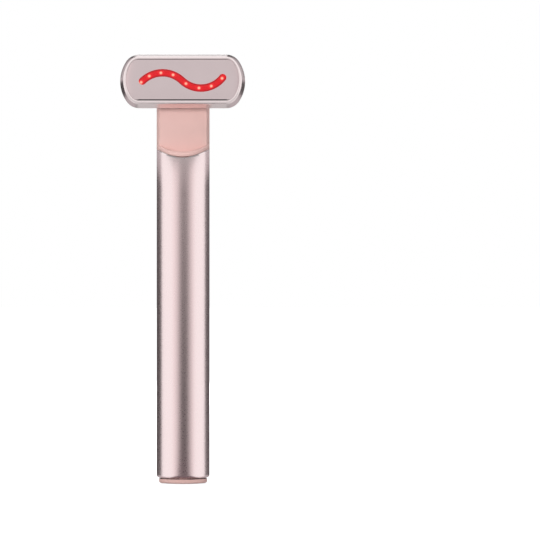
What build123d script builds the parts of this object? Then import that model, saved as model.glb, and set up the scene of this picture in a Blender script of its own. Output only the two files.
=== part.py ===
from build123d import *
import os
from math import asin, atan2, cos, degrees, radians, sin, sqrt, tan

# Heated eye massager wand. Millimetres. +Z runs up the handle, the face looks towards -Y,
# and the origin is the centre of the end cap's bottom face, on the tube's axis.

# ---- handle tube -------------------------------------------------------------------------
tube_od = 17.8
tube_wall = 1.2
tube_foot_radius = 0.7
mouth_arc_radius = 14.6    # the saddle-shaped mouth's arc, seen from the front

# ---- end cap -----------------------------------------------------------------------------
cap_flange_height = 1.8
cap_flange_step = 0.1      # how far the flange stays inside the tube's rounded foot
cap_edge_radius = 0.6
cap_plug_height = 5.7
cap_plug_wall = 1.85
seal_section_radius = 0.5
seal_height = 2.8          # seal ring's centre, above the flange

# ---- neck --------------------------------------------------------------------------------
neck_front_y = -3.0
neck_back_y = 6.0
neck_wall = 1.3
neck_split_y = 3.0         # seam between the housing and its rear cover
neck_front_edge_radius = 0.6
neck_back_edge_radius = 1.4
neck_arch_edge_radius = 0.4
neck_draft = 0.2           # degrees, so that the moulding leaves its tool
mouth_gap = 0.12           # dark line between the tube's mouth and the lip
lip_height = 1.65
neck_rise = 25.4           # from the mouth's lowest point to the swivel's axis
plug_length = 12.4         # part of the neck inside the tube
plug_wall = 1.25

# ---- head --------------------------------------------------------------------------------
head_length = 41.9
head_height = 17.9
head_end_radius = 11.9
head_corner_radius = 5.25
head_back_y = -3.3
shell_depth = 3.6          # rear shell, back to front
bezel_depth = 3.2
shell_wall = 1.3
shell_edge_radius = 1.1
rim_width = 2.0            # bezel rim round the plate
rim_slope_width = 0.9      # how far the rim's outer side leans in, over rim_slope_depth
rim_slope_depth = 2.3
rim_radius = 1.5
ledge_width = 1.4          # step that carries the plate
ledge_depth = 1.05
plate_thickness = 0.8
plate_recess = 0.35
groove_width = 0.3         # dark groove round the plate
gasket_height = 0.5

# ---- light window and light board --------------------------------------------------------
wave_width = 2.3
crest_height = 2.45        # heights are from the swivel's axis
trough_height = -2.65
wave_start_height = -0.3
wave_left_margin = 7.55    # from the head's ends to the ends of the wave's centre line
wave_right_margin = 7.5
half_wave_share = 0.48     # crest to trough, as a share of the wave's span
window_recess = 0.03
window_flange_width = 4.4
window_flange_depth = 0.7
light_shares = (-0.02, 0.095, 0.23, 0.37, 0.545, 0.7, 0.84, 0.99)   # places along the wave
light_size = (1.6, 0.55, 1.0)
light_gap = 0.3            # from the lights to the window's flange
light_board_thickness = 0.8
light_board_inset = 0.25   # from the shell's inner wall
standoff_radius = 1.3
standoff_x = 13.5
standoff_z = 4.6
heater_thickness = 0.2
thermistor_size = (1.8, 0.6, 1.2)
thermistor_place = (8.0, 3.4)

# ---- swivel ------------------------------------------------------------------------------
post_radius = 3.0
post_bore_radius = 1.7
post_flange_radius = 5.6
post_flange_depth = 0.8
post_end_y = 1.9
bearing_length = 3.4       # neck boss, from the neck's front face
boss_radius = 4.9
washer_play = 0.04
thrust_washer_depth = 0.4
wave_washer_depth = 0.3
clip_depth = 0.4
clip_radius = 4.3
clip_groove_depth = 0.5
stop_pin_radius = 0.6
stop_pin_circle = 6.2
stop_slot_width = 1.4
swivel_range = 90.0        # degrees each way

# ---- power button ------------------------------------------------------------------------
button_height = 9.6        # above the mouth's lowest point
button_radius = 3.9
button_proud = 0.35
button_flange_radius = 4.7
button_flange_depth = 0.7
button_stem_radius = 1.1
plunger_radius = 0.8
plunger_length = 0.95
plunger_proud = 0.45       # above the switch body when not pressed
switch_size = (4.2, 1.0, 4.2)
pipe_radius = 0.8
pipe_collar = 0.4
pipe_height = 17.0         # above the mouth's lowest point
status_led_size = (1.6, 0.6, 0.8)

# ---- boards and chassis ------------------------------------------------------------------
board_front_y = 1.0
board_thickness = 1.0
board_side_gap = 0.33      # inside the chassis' outer face
board_neck_gap = 0.88      # inside the neck's bore
board_tongue_gap = 0.14    # inside the end cap's bore
board_tongue_rise = 1.4    # above the end cap's flange
board_top_gap = 1.1        # below the swivel's boss
board_peg_radius = 1.0     # pegs in the neck that the board's upper end rests on
board_peg_drop = 3.0
chassis_wall = 1.0
chassis_play = 0.2
chassis_end_gap = 0.2
bridge_half_width = 2.4
bridge_half_height = 2.6
lower_bridge_rise = 6.0    # above the end cap
upper_bridge_rise = 12.0   # above the battery
chassis_screw_length = 4.4

# ---- components, each as width, depth and height ----------------------------------------
controller_size = (4.0, 0.8, 4.0)
charger_size = (3.0, 0.8, 3.0)
coil_size = (4.0, 1.8, 4.0)
driver_size = (3.0, 0.9, 2.2)
passive_size = (0.6, 0.5, 1.0)
battery_solder_size = (1.2, 0.9, 1.6)
motor_solder_size = (1.2, 0.4, 1.4)
controller_drop = 3.4      # below the mouth
charger_rise = 14.0        # above the battery's lower end
coil_x = 2.6
passive_pitch = 3.0
passive_columns = (-3.6, -2.0, 2.0, 3.6)

# ---- contact leaf ------------------------------------------------------------------------
leaf_thickness = 0.2
leaf_width = 2.0
leaf_x = 4.0
leaf_foot = 2.0
leaf_slope = 1.6           # height over which it crosses to the tube
leaf_curl = 0.5
leaf_rise = 8.1            # its foot, above the battery

# ---- charging socket ---------------------------------------------------------------------
socket_width = 8.94
socket_height = 3.16
socket_wall = 0.3
socket_length = 7.3
socket_mouth_z = 0.9
port_clearance = 0.15
socket_tab_gap = 0.13      # inside the board's edge
socket_tab_margin = 1.0
tongue_width = 6.69
tongue_thickness = 0.7
tongue_length = 4.6
tongue_root_length = 1.0

# ---- battery -----------------------------------------------------------------------------
battery_width = 11.0
battery_thickness = 4.2
battery_length = 48.0
battery_rise = 10.5        # above the end cap
battery_edge_radius = 1.2
pad_thickness = 0.5
lead_radius = 0.4
battery_lead_x = 1.4
motor_lead_x = 1.0
lead_run = 6.0             # battery leads, from the cell to their solder pads
lead_pitch = 1.0
lead_overlap = 1.4         # handle leads, down the back of the board

# ---- vibration motor ---------------------------------------------------------------------
motor_radius = 3.0
service_bay = 16.2         # between the battery and the motor
motor_to_plug = 3.0        # from the motor's top to the neck's plug
motor_lead_drop = 2.5
motor_length = 12.0
motor_cap_depth = 1.0
motor_can_wall = 0.3
motor_boot_wall = 0.8
motor_boot_length = 10.0
motor_bearing_depth = 0.6
shaft_radius = 0.5
shaft_reach = 4.4          # shaft outside the can
magnet_radius = 1.5
coil_inner_radius = 1.75
coil_outer_radius = 2.35
coil_length = 9.0
weight_radius = 2.6
weight_length = 3.2
weight_hub_radius = 1.2

# ---- screws and clearances ---------------------------------------------------------------
screw_radius = 0.6
screw_head_radius = 1.1
screw_head_depth = 0.5
post_screw_circle = 4.35
post_screw_length = 0.9
board_screw_length = 1.6
fit = 0.05                 # between pieces of one body, per side
running = 0.04             # bearing clearance, per side
slack = 0.3                # between pieces of different bodies

# ---- sizes that follow -------------------------------------------------------------------
tube_radius = tube_od / 2
bore_radius = tube_radius - tube_wall
plug_radius = bore_radius - fit
plug_bore_radius = plug_radius - plug_wall
saddle_rise = mouth_arc_radius - sqrt(mouth_arc_radius**2 - tube_radius**2)
neck_depth = neck_back_y - neck_front_y
cavity_front_y = neck_front_y + neck_wall
cavity_back_y = neck_back_y - neck_wall
cap_flange_radius = tube_radius - tube_foot_radius - cap_flange_step
cap_top_z = cap_flange_height + cap_plug_height
seal_z = cap_flange_height + seal_height
battery_bottom_z = cap_top_z + battery_rise
battery_top_z = battery_bottom_z + battery_length
motor_bottom_z = battery_top_z + service_bay
motor_can_bottom_z = motor_bottom_z + motor_cap_depth
motor_top_z = motor_bottom_z + motor_length
plug_bottom_z = motor_top_z + motor_to_plug
mouth_z = plug_bottom_z + plug_length      # lowest point of the saddle-shaped mouth
pivot_z = mouth_z + neck_rise
button_z = mouth_z + button_height
pipe_z = mouth_z + pipe_height
cap_plug_radius = bore_radius - fit
cap_bore_radius = cap_plug_radius - cap_plug_wall
head_seam_y = head_back_y - shell_depth
head_front_y = head_seam_y - bezel_depth
shell_floor_y = head_back_y - shell_wall
plate_front_y = head_front_y + plate_recess
plate_back_y = plate_front_y + plate_thickness
ledge_back_y = plate_back_y + ledge_depth
plate_inset = rim_width + groove_width
ledge_inset = rim_width + ledge_width
heater_inset = ledge_inset + fit
flange_back_y = plate_back_y + window_flange_depth
light_board_front_y = flange_back_y + light_gap + light_size[1]
light_board_back_y = light_board_front_y + light_board_thickness
post_flange_front_y = shell_floor_y - post_flange_depth
boss_end_y = neck_front_y + bearing_length
thrust_washer_end_y = boss_end_y + thrust_washer_depth
wave_washer_end_y = thrust_washer_end_y + wave_washer_depth
clip_front_y = wave_washer_end_y + running
clip_back_y = clip_front_y + clip_depth
board_back_y = board_front_y + board_thickness
chassis_outer_radius = bore_radius - chassis_play
chassis_inner_radius = chassis_outer_radius - chassis_wall
chassis_bottom_z = cap_top_z + chassis_end_gap
chassis_top_z = plug_bottom_z - chassis_end_gap
lower_bridge_z = cap_top_z + lower_bridge_rise
upper_bridge_z = battery_top_z + upper_bridge_rise
board_half_width = sqrt(chassis_outer_radius**2 - board_back_y**2) - board_side_gap
board_neck_half_width = sqrt(plug_bore_radius**2 - board_back_y**2) - board_neck_gap
board_tongue_half_width = sqrt(cap_bore_radius**2 - board_back_y**2) - board_tongue_gap
board_tongue_z = cap_flange_height + board_tongue_rise
board_top_z = pivot_z - boss_radius - board_top_gap
board_peg_x = board_neck_half_width - board_peg_radius
switch_back_y = board_back_y + switch_size[1]
plunger_tip_y = switch_back_y + plunger_proud
button_back_y = neck_back_y + button_proud
button_flange_back_y = cavity_back_y - fit
button_flange_front_y = button_flange_back_y - button_flange_depth
battery_back_y = board_front_y - pad_thickness
battery_front_y = battery_back_y - battery_thickness
lead_y = battery_back_y - lead_radius
boot_reach = motor_radius + fit + motor_boot_wall
motor_y = board_front_y - boot_reach
motor_lead_end_y = board_front_y - motor_solder_size[1] - lead_radius - slack
boot_bottom_z = (motor_bottom_z + motor_top_z - motor_boot_length) / 2

# ---- the wave's centre line: a crest arc, then a trough arc ------------------------------
wave_left_x = wave_left_margin - head_length / 2
wave_right_x = head_length / 2 - wave_right_margin
crest_x = wave_left_x / 2
trough_x = crest_x + half_wave_share * (wave_right_x - wave_left_x)
start_drop = crest_height - wave_start_height
wave_height = crest_height - trough_height
crest_radius = ((crest_x - wave_left_x) ** 2 + start_drop**2) / (2 * start_drop)
radius_sum = ((trough_x - crest_x) ** 2 + wave_height**2) / (2 * wave_height)
trough_radius = radius_sum - crest_radius      # so that the two arcs touch
crest_centre = (crest_x, crest_height - crest_radius)
trough_centre = (trough_x, trough_height + trough_radius)
wave_left_angle = 90 + degrees(asin((crest_x - wave_left_x) / crest_radius))
wave_join_angle = degrees(atan2(trough_centre[1] - crest_centre[1], trough_x - crest_x))
wave_right_angle = 270 + degrees(asin((wave_right_x - trough_x) / trough_radius))
crest_sweep = wave_left_angle - wave_join_angle
trough_sweep = wave_right_angle - wave_join_angle - 180
crest_run = crest_radius * radians(crest_sweep)
trough_run = trough_radius * radians(trough_sweep)

BASE = (Align.CENTER, Align.CENTER, Align.MIN)
FAR = 60.0                 # reach of cutting blocks, well outside the part


# ---- shapes ------------------------------------------------------------------------------
def rod(radius, bottom, top, x=0.0, y=0.0):
    """Round bar along Z."""
    return Pos(x, y, bottom) * Cylinder(radius, top - bottom, align=BASE)


def rod_y(radius, front, back, x=0.0, z=0.0):
    """Round bar along Y."""
    return Pos(x, back, z) * Rot(90, 0, 0) * Cylinder(radius, back - front, align=BASE)


def ring(outer, inner, bottom, top, x=0.0, y=0.0):
    """Tube along Z."""
    return rod(outer, bottom, top, x, y) - rod(inner, bottom, top, x, y)


def ring_y(outer, inner, front, back, x=0.0, z=0.0):
    """Tube along Y."""
    return rod_y(outer, front, back, x, z) - rod_y(inner, front, back, x, z)


def block(x_min, x_max, y_min, y_max, z_min, z_max):
    """Box between two corners."""
    middle = Pos((x_min + x_max) / 2, (y_min + y_max) / 2, (z_min + z_max) / 2)
    return middle * Box(x_max - x_min, y_max - y_min, z_max - z_min)


def face_prism(sketch, front, back, z=pivot_z):
    """Prism along Y of a sketch drawn as seen from the front, at height z."""
    return Pos(0, back, z) * Rot(90, 0, 0) * extrude(sketch, back - front)


def above_saddle(lift):
    """All that lies above the mouth's saddle, raised by lift."""
    centre = mouth_z + mouth_arc_radius + lift
    reach = mouth_arc_radius
    return rod_y(reach, -FAR, FAR, 0, centre) + block(-reach, reach, -FAR, FAR, centre, centre + FAR)


def head_outline(inset):
    """Straight top and bottom, wide end arcs and smaller corner arcs, all drawn inset."""
    half_length = head_length / 2 - inset
    half_height = head_height / 2 - inset
    end_radius = head_end_radius - inset
    corner_radius = head_corner_radius - inset
    end_x = half_length - end_radius
    corner_z = half_height - corner_radius
    corner_x = end_x + sqrt((end_radius - corner_radius) ** 2 - corner_z**2)
    lean = atan2(corner_z, corner_x - end_x)
    edges = []
    for turn in (0, 180):
        end = CenterArc((end_x, 0), end_radius, -degrees(lean), 2 * degrees(lean))
        upper = CenterArc((corner_x, corner_z), corner_radius, degrees(lean), 90 - degrees(lean))
        lower = CenterArc((corner_x, -corner_z), corner_radius, -90, 90 - degrees(lean))
        top = Line((corner_x, half_height), (-corner_x, half_height))
        edges += [Rot(0, 0, turn) * edge for edge in (end, upper, lower, top)]
    return make_face(edges)


def wave_outline(width):
    """Strip of constant width along the wave, with round ends."""
    half = width / 2
    left_end = on_circle(crest_centre, crest_radius, wave_left_angle)
    right_end = on_circle(trough_centre, trough_radius, wave_right_angle)
    over = wave_join_angle + 180
    edges = [
        CenterArc(crest_centre, crest_radius + half, wave_join_angle, crest_sweep),
        CenterArc(left_end, half, wave_left_angle, 180),
        CenterArc(crest_centre, crest_radius - half, wave_join_angle, crest_sweep),
        CenterArc(trough_centre, trough_radius + half, over, trough_sweep),
        CenterArc(right_end, half, wave_right_angle, 180),
        CenterArc(trough_centre, trough_radius - half, over, trough_sweep),
    ]
    return make_face(edges)


def on_circle(centre, radius, angle):
    """Point on a circle, at an angle in degrees."""
    turn = radians(angle)
    return (centre[0] + radius * cos(turn), centre[1] + radius * sin(turn))


def wave_point(along):
    """Point on the wave's centre line, and its slope in degrees, at a distance from its left end."""
    if along <= crest_run:
        angle = wave_left_angle - degrees(along / crest_radius)
        return on_circle(crest_centre, crest_radius, angle), angle - 90
    angle = wave_join_angle + 180 + degrees((along - crest_run) / trough_radius)
    return on_circle(trough_centre, trough_radius, angle), angle + 90


def neck_section(inset):
    """Flat-fronted section of the neck, seen from above."""
    flats = Pos(0, (neck_front_y + neck_back_y) / 2) * Rectangle(tube_od, neck_depth - 2 * inset)
    section = Circle(tube_radius - inset) & flats
    corners = section.vertices().sort_by(Axis.Y)
    section = fillet(corners[:2], neck_front_edge_radius)
    corners = section.vertices().sort_by(Axis.Y)
    return fillet(corners[-2:], neck_back_edge_radius)


def neck_column(inset, bottom):
    """Upright of the neck from a height up to its round top."""
    radius = tube_radius - inset
    upright = Pos(0, 0, bottom) * extrude(neck_section(inset), pivot_z + radius - bottom)
    arch = rod_y(radius, -FAR, FAR, 0, pivot_z) + block(-radius, radius, -FAR, FAR, bottom, pivot_z)
    return upright & arch


def arch_edges(body):
    """Round edges of the neck's arch, front to back."""
    arcs = body.edges().filter_by(GeomType.CIRCLE).filter_by(lambda edge: edge.center().Z > pivot_z)
    return arcs.sort_by(Axis.Y)


def neck_mould():
    """Reach of the neck's mould: flush with the tube at the mouth and drawn in as it rises."""
    height = pivot_z + tube_radius - mouth_z
    return Pos(0, 0, mouth_z) * Cone(tube_radius, tube_radius - height * tan(radians(neck_draft)), height,
                                     align=BASE)


def neck_body():
    """Outside of the neck's upright, its round top softened front and back."""
    body = neck_column(0, mouth_z)
    body = fillet(arch_edges(body)[0], neck_arch_edge_radius)
    body = fillet(arch_edges(body)[-1], neck_back_edge_radius)
    return body & neck_mould()


def screw(radius, length, head_radius, head_depth):
    """Pan-head screw along +Y, its head's seat at the origin."""
    head = rod_y(head_radius, -head_depth, 0)
    return head + rod_y(radius, 0, length)


# ---- handle ------------------------------------------------------------------------------
def handle_tube():
    top = mouth_z + saddle_rise + tube_wall
    body = rod(tube_radius, cap_flange_height, top)
    foot = body.edges().filter_by(GeomType.CIRCLE).sort_by(Axis.Z)[0]
    body = fillet(foot, tube_foot_radius)
    body -= rod(bore_radius, cap_flange_height, top)
    return body - above_saddle(0)


def port_outline(clearance):
    """Rounded charging port, drawn square to Z."""
    width = socket_width + 2 * clearance
    height = socket_height + 2 * clearance
    return SlotOverall(width, height)


def end_cap():
    flange = rod(cap_flange_radius, 0, cap_flange_height)
    rim = flange.edges().filter_by(GeomType.CIRCLE).sort_by(Axis.Z)[0]
    flange = fillet(rim, cap_edge_radius)
    plug = ring(cap_plug_radius, cap_bore_radius, cap_flange_height, cap_top_z)
    groove = ring(tube_radius, seal_seat_radius(), seal_z - seal_section_radius - fit,
                  seal_z + seal_section_radius + fit)
    port = extrude(port_outline(port_clearance), cap_flange_height)
    return flange + (plug - groove) - port


def seal_seat_radius():
    """Floor of the seal's groove in the end cap."""
    return cap_plug_radius - 2 * seal_section_radius


def end_cap_seal():
    return Pos(0, 0, seal_z) * Torus(seal_seat_radius() + seal_section_radius + fit / 2, seal_section_radius)


def inner_chassis():
    shell = ring(chassis_outer_radius, chassis_inner_radius, chassis_bottom_z, chassis_top_z)
    shell = shell & block(-FAR, FAR, board_back_y, FAR, chassis_bottom_z, chassis_top_z)
    for z in (lower_bridge_z, upper_bridge_z):
        bridge = block(-bridge_half_width, bridge_half_width, board_back_y, FAR,
                       z - bridge_half_height, z + bridge_half_height)
        shell += bridge & rod(chassis_outer_radius, chassis_bottom_z, chassis_top_z)
        shell -= rod_y(screw_radius + fit, board_back_y, board_front_y + chassis_screw_length + fit, 0, z)
    return shell


def chassis_screws():
    place = [Pos(0, board_front_y, z) for z in (lower_bridge_z, upper_bridge_z)]
    one = screw(screw_radius, chassis_screw_length, screw_head_radius, screw_head_depth)
    return [spot * one for spot in place]


# ---- boards ------------------------------------------------------------------------------
def main_board():
    wide = block(-board_half_width, board_half_width, board_front_y, board_back_y,
                 chassis_bottom_z, chassis_top_z)
    narrow = block(-board_neck_half_width, board_neck_half_width, board_front_y, board_back_y,
                   chassis_top_z, board_top_z)
    tongue = block(-board_tongue_half_width, board_tongue_half_width, board_front_y, board_back_y,
                   board_tongue_z, chassis_bottom_z)
    board = wide + narrow + tongue
    notch = socket_width / 2 + fit
    board -= block(-notch, notch, -FAR, FAR, board_tongue_z, socket_mouth_z + socket_length + fit)
    for z in (lower_bridge_z, upper_bridge_z):
        board -= rod_y(screw_radius + fit, board_front_y, board_back_y, 0, z)
    return board


def on_board(size, x, z, back=False):
    """Component lying on the main board's front or back face."""
    width, depth, height = size
    start = board_back_y if back else board_front_y - depth
    return block(x - width / 2, x + width / 2, start, start + depth, z - height / 2, z + height / 2)


def passive_rows():
    """Small parts on the board's back, in rows behind the battery and the motor."""
    rows = [battery_bottom_z + passive_pitch * step for step in (1, 2, 3)]
    rows += [boot_bottom_z + passive_pitch * step for step in (1, 2)]
    return [on_board(passive_size, x, z, back=True) for z in rows for x in passive_columns]


def board_components():
    battery_solder_z = battery_top_z + lead_run + battery_solder_size[2] / 2
    parts = [
        on_board(controller_size, 0, mouth_z - controller_drop),
        on_board(charger_size, 0, battery_bottom_z + charger_rise, back=True),
        on_board(coil_size, coil_x, battery_top_z, back=True),
        on_board(driver_size, -coil_x, battery_top_z, back=True),
    ]
    for side in (-1, 1):
        parts.append(on_board(battery_solder_size, side * battery_lead_x, battery_solder_z))
        parts.append(on_board(motor_solder_size, side * motor_lead_x, motor_bottom_z - motor_lead_drop))
    return parts + passive_rows()


# ---- charging socket ---------------------------------------------------------------------
def usb_socket():
    top = socket_mouth_z + socket_length
    shell = Pos(0, 0, socket_mouth_z) * extrude(port_outline(0), socket_length)
    hollow = Pos(0, 0, socket_mouth_z) * extrude(port_outline(-socket_wall), socket_length - socket_wall)
    shell -= hollow
    reach = board_tongue_half_width - socket_tab_gap
    tabs = block(-reach, reach, board_front_y - socket_wall, board_front_y,
                 board_tongue_z + socket_tab_margin, top - socket_tab_margin)
    inside = Pos(0, 0, socket_mouth_z) * extrude(port_outline(-socket_wall), socket_length)
    return shell + (tabs - inside)


def usb_tongue():
    top = socket_mouth_z + socket_length - socket_wall
    half_width = tongue_width / 2
    half = tongue_thickness / 2
    blade = block(-half_width, half_width, -half, half, top - tongue_length, top)
    edge = socket_width / 2 - socket_height / 2
    side = socket_height / 2 - socket_wall - fit
    root = block(-edge, edge, -side, side, top - tongue_root_length, top)
    return blade + root


# ---- battery -----------------------------------------------------------------------------
def battery():
    half = battery_width / 2
    cell = block(-half, half, battery_front_y, battery_back_y, battery_bottom_z, battery_top_z)
    return fillet(cell.edges().filter_by(Axis.Z), battery_edge_radius)


def battery_pad():
    half = battery_width / 2 - battery_edge_radius
    return block(-half, half, battery_back_y, board_front_y,
                 battery_bottom_z + battery_edge_radius, battery_top_z - battery_edge_radius)


def battery_leads():
    return [rod(lead_radius, battery_top_z, battery_top_z + lead_run, side * battery_lead_x, lead_y)
            for side in (-1, 1)]


# ---- vibration motor ---------------------------------------------------------------------
def motor_can():
    can = rod(motor_radius, motor_can_bottom_z, motor_top_z, 0, motor_y)
    hollow_top = motor_top_z - motor_bearing_depth
    can -= rod(motor_radius - motor_can_wall, motor_can_bottom_z, hollow_top, 0, motor_y)
    return can - rod(shaft_radius + running, hollow_top, motor_top_z, 0, motor_y)


def motor_end_cap():
    return rod(motor_radius, motor_bottom_z, motor_can_bottom_z, 0, motor_y)


def motor_magnet():
    top = motor_top_z - motor_bearing_depth
    return ring(magnet_radius, shaft_radius + running, top - coil_length, top, 0, motor_y)


def motor_boot():
    """Rubber block gripped between the board and the tube."""
    top = boot_bottom_z + motor_boot_length
    body = block(-boot_reach, boot_reach, -FAR, board_front_y, boot_bottom_z, top)
    body = body & rod(bore_radius - fit, boot_bottom_z, top)
    return body - rod(motor_radius + fit, boot_bottom_z, top, 0, motor_y)


def motor_leads():
    leads = []
    for side in (-1, 1):
        start = Vector(side * motor_lead_x, motor_y, motor_bottom_z - lead_radius)
        end = Vector(side * motor_lead_x, motor_lead_end_y, motor_bottom_z - motor_lead_drop)
        path = Line(start, end)
        leads.append(sweep(Plane(start, z_dir=end - start) * Circle(lead_radius), path))
    return leads


def coil_bottom_z():
    return motor_can_bottom_z + slack


def motor_shaft():
    return rod(shaft_radius, coil_bottom_z(), motor_top_z + shaft_reach, 0, motor_y)


def motor_coil():
    bottom = coil_bottom_z()
    cup = ring(coil_outer_radius, coil_inner_radius, bottom, bottom + coil_length, 0, motor_y)
    web = ring(coil_outer_radius, shaft_radius + fit, bottom, bottom + motor_bearing_depth, 0, motor_y)
    return cup + web


def eccentric_weight():
    bottom = motor_top_z + shaft_reach - weight_length - slack
    top = bottom + weight_length
    half_disc = rod(weight_radius, bottom, top, 0, motor_y)
    half_disc = half_disc & block(-FAR, FAR, -FAR, motor_y, bottom, top)
    hub = rod(weight_hub_radius, bottom, top, 0, motor_y)
    return half_disc + hub - rod(shaft_radius + fit / 2, bottom, top, 0, motor_y)


# ---- neck --------------------------------------------------------------------------------
def stop_slot():
    """Arc slot round the swivel that the stop pin runs in."""
    margin = degrees(asin((stop_pin_radius + fit) / stop_pin_circle))
    start = 90 - swivel_range - margin
    sweep_angle = 2 * (swivel_range + margin)
    inner = stop_pin_circle - stop_slot_width / 2
    outer = stop_pin_circle + stop_slot_width / 2
    first = on_circle((0, 0), outer, start)
    last = on_circle((0, 0), outer, start + sweep_angle)
    sector = make_face([
        CenterArc((0, 0), outer, start, sweep_angle),
        Line(last, on_circle((0, 0), inner, start + sweep_angle)),
        CenterArc((0, 0), inner, start, sweep_angle),
        Line(on_circle((0, 0), inner, start), first),
    ])
    return face_prism(sector, neck_front_y, cavity_front_y)


def neck_collar():
    """Lip and plug as one body, before it is hollowed."""
    lip_top = mouth_gap + lip_height
    high = mouth_z + saddle_rise + lip_top + tube_wall
    lip = neck_mould() & above_saddle(mouth_gap)
    plug = rod(plug_radius, plug_bottom_z, high)
    return (lip + plug) - above_saddle(lip_top)


def neck_cavity():
    """Room inside the neck: the plug's bore, then the hollow upright."""
    bore = rod(plug_bore_radius, plug_bottom_z, mouth_z)
    return bore + neck_column(neck_wall, mouth_z - fit)


def neck_housing():
    front = block(-FAR, FAR, -FAR, neck_split_y, mouth_z, pivot_z + FAR)
    upright = neck_body() & front
    upright = upright & above_saddle(mouth_gap + lip_height - fit)
    housing = neck_collar() + upright - neck_cavity()
    housing += rod_y(boss_radius, cavity_front_y - fit, boss_end_y, 0, pivot_z)
    for x in (-board_peg_x, board_peg_x):
        housing += rod_y(board_peg_radius, cavity_front_y - fit, board_front_y, x, board_top_z - board_peg_drop)
    housing -= rod_y(post_radius + running, neck_front_y, boss_end_y, 0, pivot_z)
    return housing - stop_slot()


def neck_rear_cover():
    back = block(-FAR, FAR, neck_split_y, FAR, mouth_z, pivot_z + FAR)
    cover = neck_body() & back
    cover = cover & above_saddle(mouth_gap + lip_height + fit)
    cover -= neck_column(neck_wall, mouth_z)
    cover -= rod_y(button_radius + 2 * running, cavity_back_y, neck_back_y, 0, button_z)
    return cover - rod_y(pipe_radius + fit, cavity_back_y, neck_back_y, 0, pipe_z)


# ---- power button and status light -------------------------------------------------------
def power_button():
    cap = rod_y(button_radius, button_flange_front_y, button_back_y, 0, button_z)
    rim = cap.edges().filter_by(GeomType.CIRCLE).sort_by(Axis.Y)[-1]
    cap = fillet(rim, button_proud * 0.8)
    cap += rod_y(button_flange_radius, button_flange_front_y, button_flange_back_y, 0, button_z)
    return cap + rod_y(button_stem_radius, plunger_tip_y, button_flange_front_y, 0, button_z)


def switch_plunger():
    return rod_y(plunger_radius, plunger_tip_y - plunger_length, plunger_tip_y, 0, button_z)


def switch_body():
    half = switch_size[0] / 2
    body = block(-half, half, board_back_y, switch_back_y, button_z - half, button_z + half)
    return body - rod_y(plunger_radius + running, board_back_y + fit, switch_back_y, 0, button_z)


def status_led():
    half_width = status_led_size[0] / 2
    half_height = status_led_size[2] / 2
    return block(-half_width, half_width, board_back_y, board_back_y + status_led_size[1],
                 pipe_z - half_height, pipe_z + half_height)


def status_light_pipe():
    front = board_back_y + status_led_size[1] + fit
    pipe = rod_y(pipe_radius, front, neck_back_y, 0, pipe_z)
    collar = rod_y(pipe_radius + pipe_collar, cavity_back_y - pipe_collar, cavity_back_y, 0, pipe_z)
    return pipe + collar


# ---- swivel ------------------------------------------------------------------------------
def swivel_post():
    post = rod_y(post_radius, post_flange_front_y, post_end_y, 0, pivot_z)
    post += rod_y(post_flange_radius, post_flange_front_y, shell_floor_y, 0, pivot_z)
    groove_floor = post_radius - clip_groove_depth
    post -= ring_y(post_radius + 1.0, groove_floor, clip_front_y, clip_back_y, 0, pivot_z)
    for spot in post_screw_places():
        post -= spot * rod_y(screw_radius + fit, 0, post_flange_depth)
    return post - rod_y(post_bore_radius, post_flange_front_y, post_end_y, 0, pivot_z)


def post_screw_places():
    """Seats of the screws that hold the post's flange to the rear shell."""
    spots = []
    for angle in (30, 150, 270):
        x, z = on_circle((0, pivot_z), post_screw_circle, angle)
        spots.append(Pos(x, post_flange_front_y, z))
    return spots


def post_screws():
    length = post_flange_depth + post_screw_length
    one = screw(screw_radius, length, screw_head_radius, screw_head_depth)
    return [spot * one for spot in post_screw_places()]


def swivel_washer():
    return ring_y(boss_radius, post_radius + fit, head_back_y + washer_play, neck_front_y, 0, pivot_z)


def thrust_washer():
    return ring_y(clip_radius, post_radius + fit, boss_end_y, thrust_washer_end_y, 0, pivot_z)


def wave_washer():
    return ring_y(clip_radius - fit, post_radius + fit, thrust_washer_end_y, wave_washer_end_y, 0, pivot_z)


def retaining_clip():
    inner = post_radius - clip_groove_depth + fit
    clip = ring_y(clip_radius, inner, clip_front_y + fit / 2, clip_back_y - fit / 2, 0, pivot_z)
    gap = block(-inner * 0.8, inner * 0.8, -FAR, FAR, pivot_z - FAR, pivot_z)
    return clip - gap


def stop_pin():
    return rod_y(stop_pin_radius, shell_floor_y, cavity_front_y - fit, 0, pivot_z + stop_pin_circle)


# ---- head --------------------------------------------------------------------------------
def standoff_places():
    return [(x, z) for x in (-standoff_x, standoff_x) for z in (-standoff_z, standoff_z)]


def head_rear_shell():
    shell = face_prism(head_outline(0), head_seam_y, head_back_y)
    back_face = shell.faces().sort_by(Axis.Y)[-1]
    shell = fillet(back_face.edges(), shell_edge_radius)
    shell -= face_prism(head_outline(shell_wall), head_seam_y, shell_floor_y)
    for x, z in standoff_places():
        shell += rod_y(standoff_radius, light_board_back_y, shell_floor_y + fit, x, pivot_z + z)
        shell -= rod_y(screw_radius, light_board_back_y, light_board_back_y + board_screw_length + fit,
                       x, pivot_z + z)
    for spot in post_screw_places():
        shell -= spot * rod_y(screw_radius, post_flange_depth, post_flange_depth + post_screw_length + fit)
    shell -= rod_y(stop_pin_radius + fit / 2, shell_floor_y, head_back_y, 0, pivot_z + stop_pin_circle)
    return shell - rod_y(post_radius + fit, shell_floor_y, head_back_y, 0, pivot_z)


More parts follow.
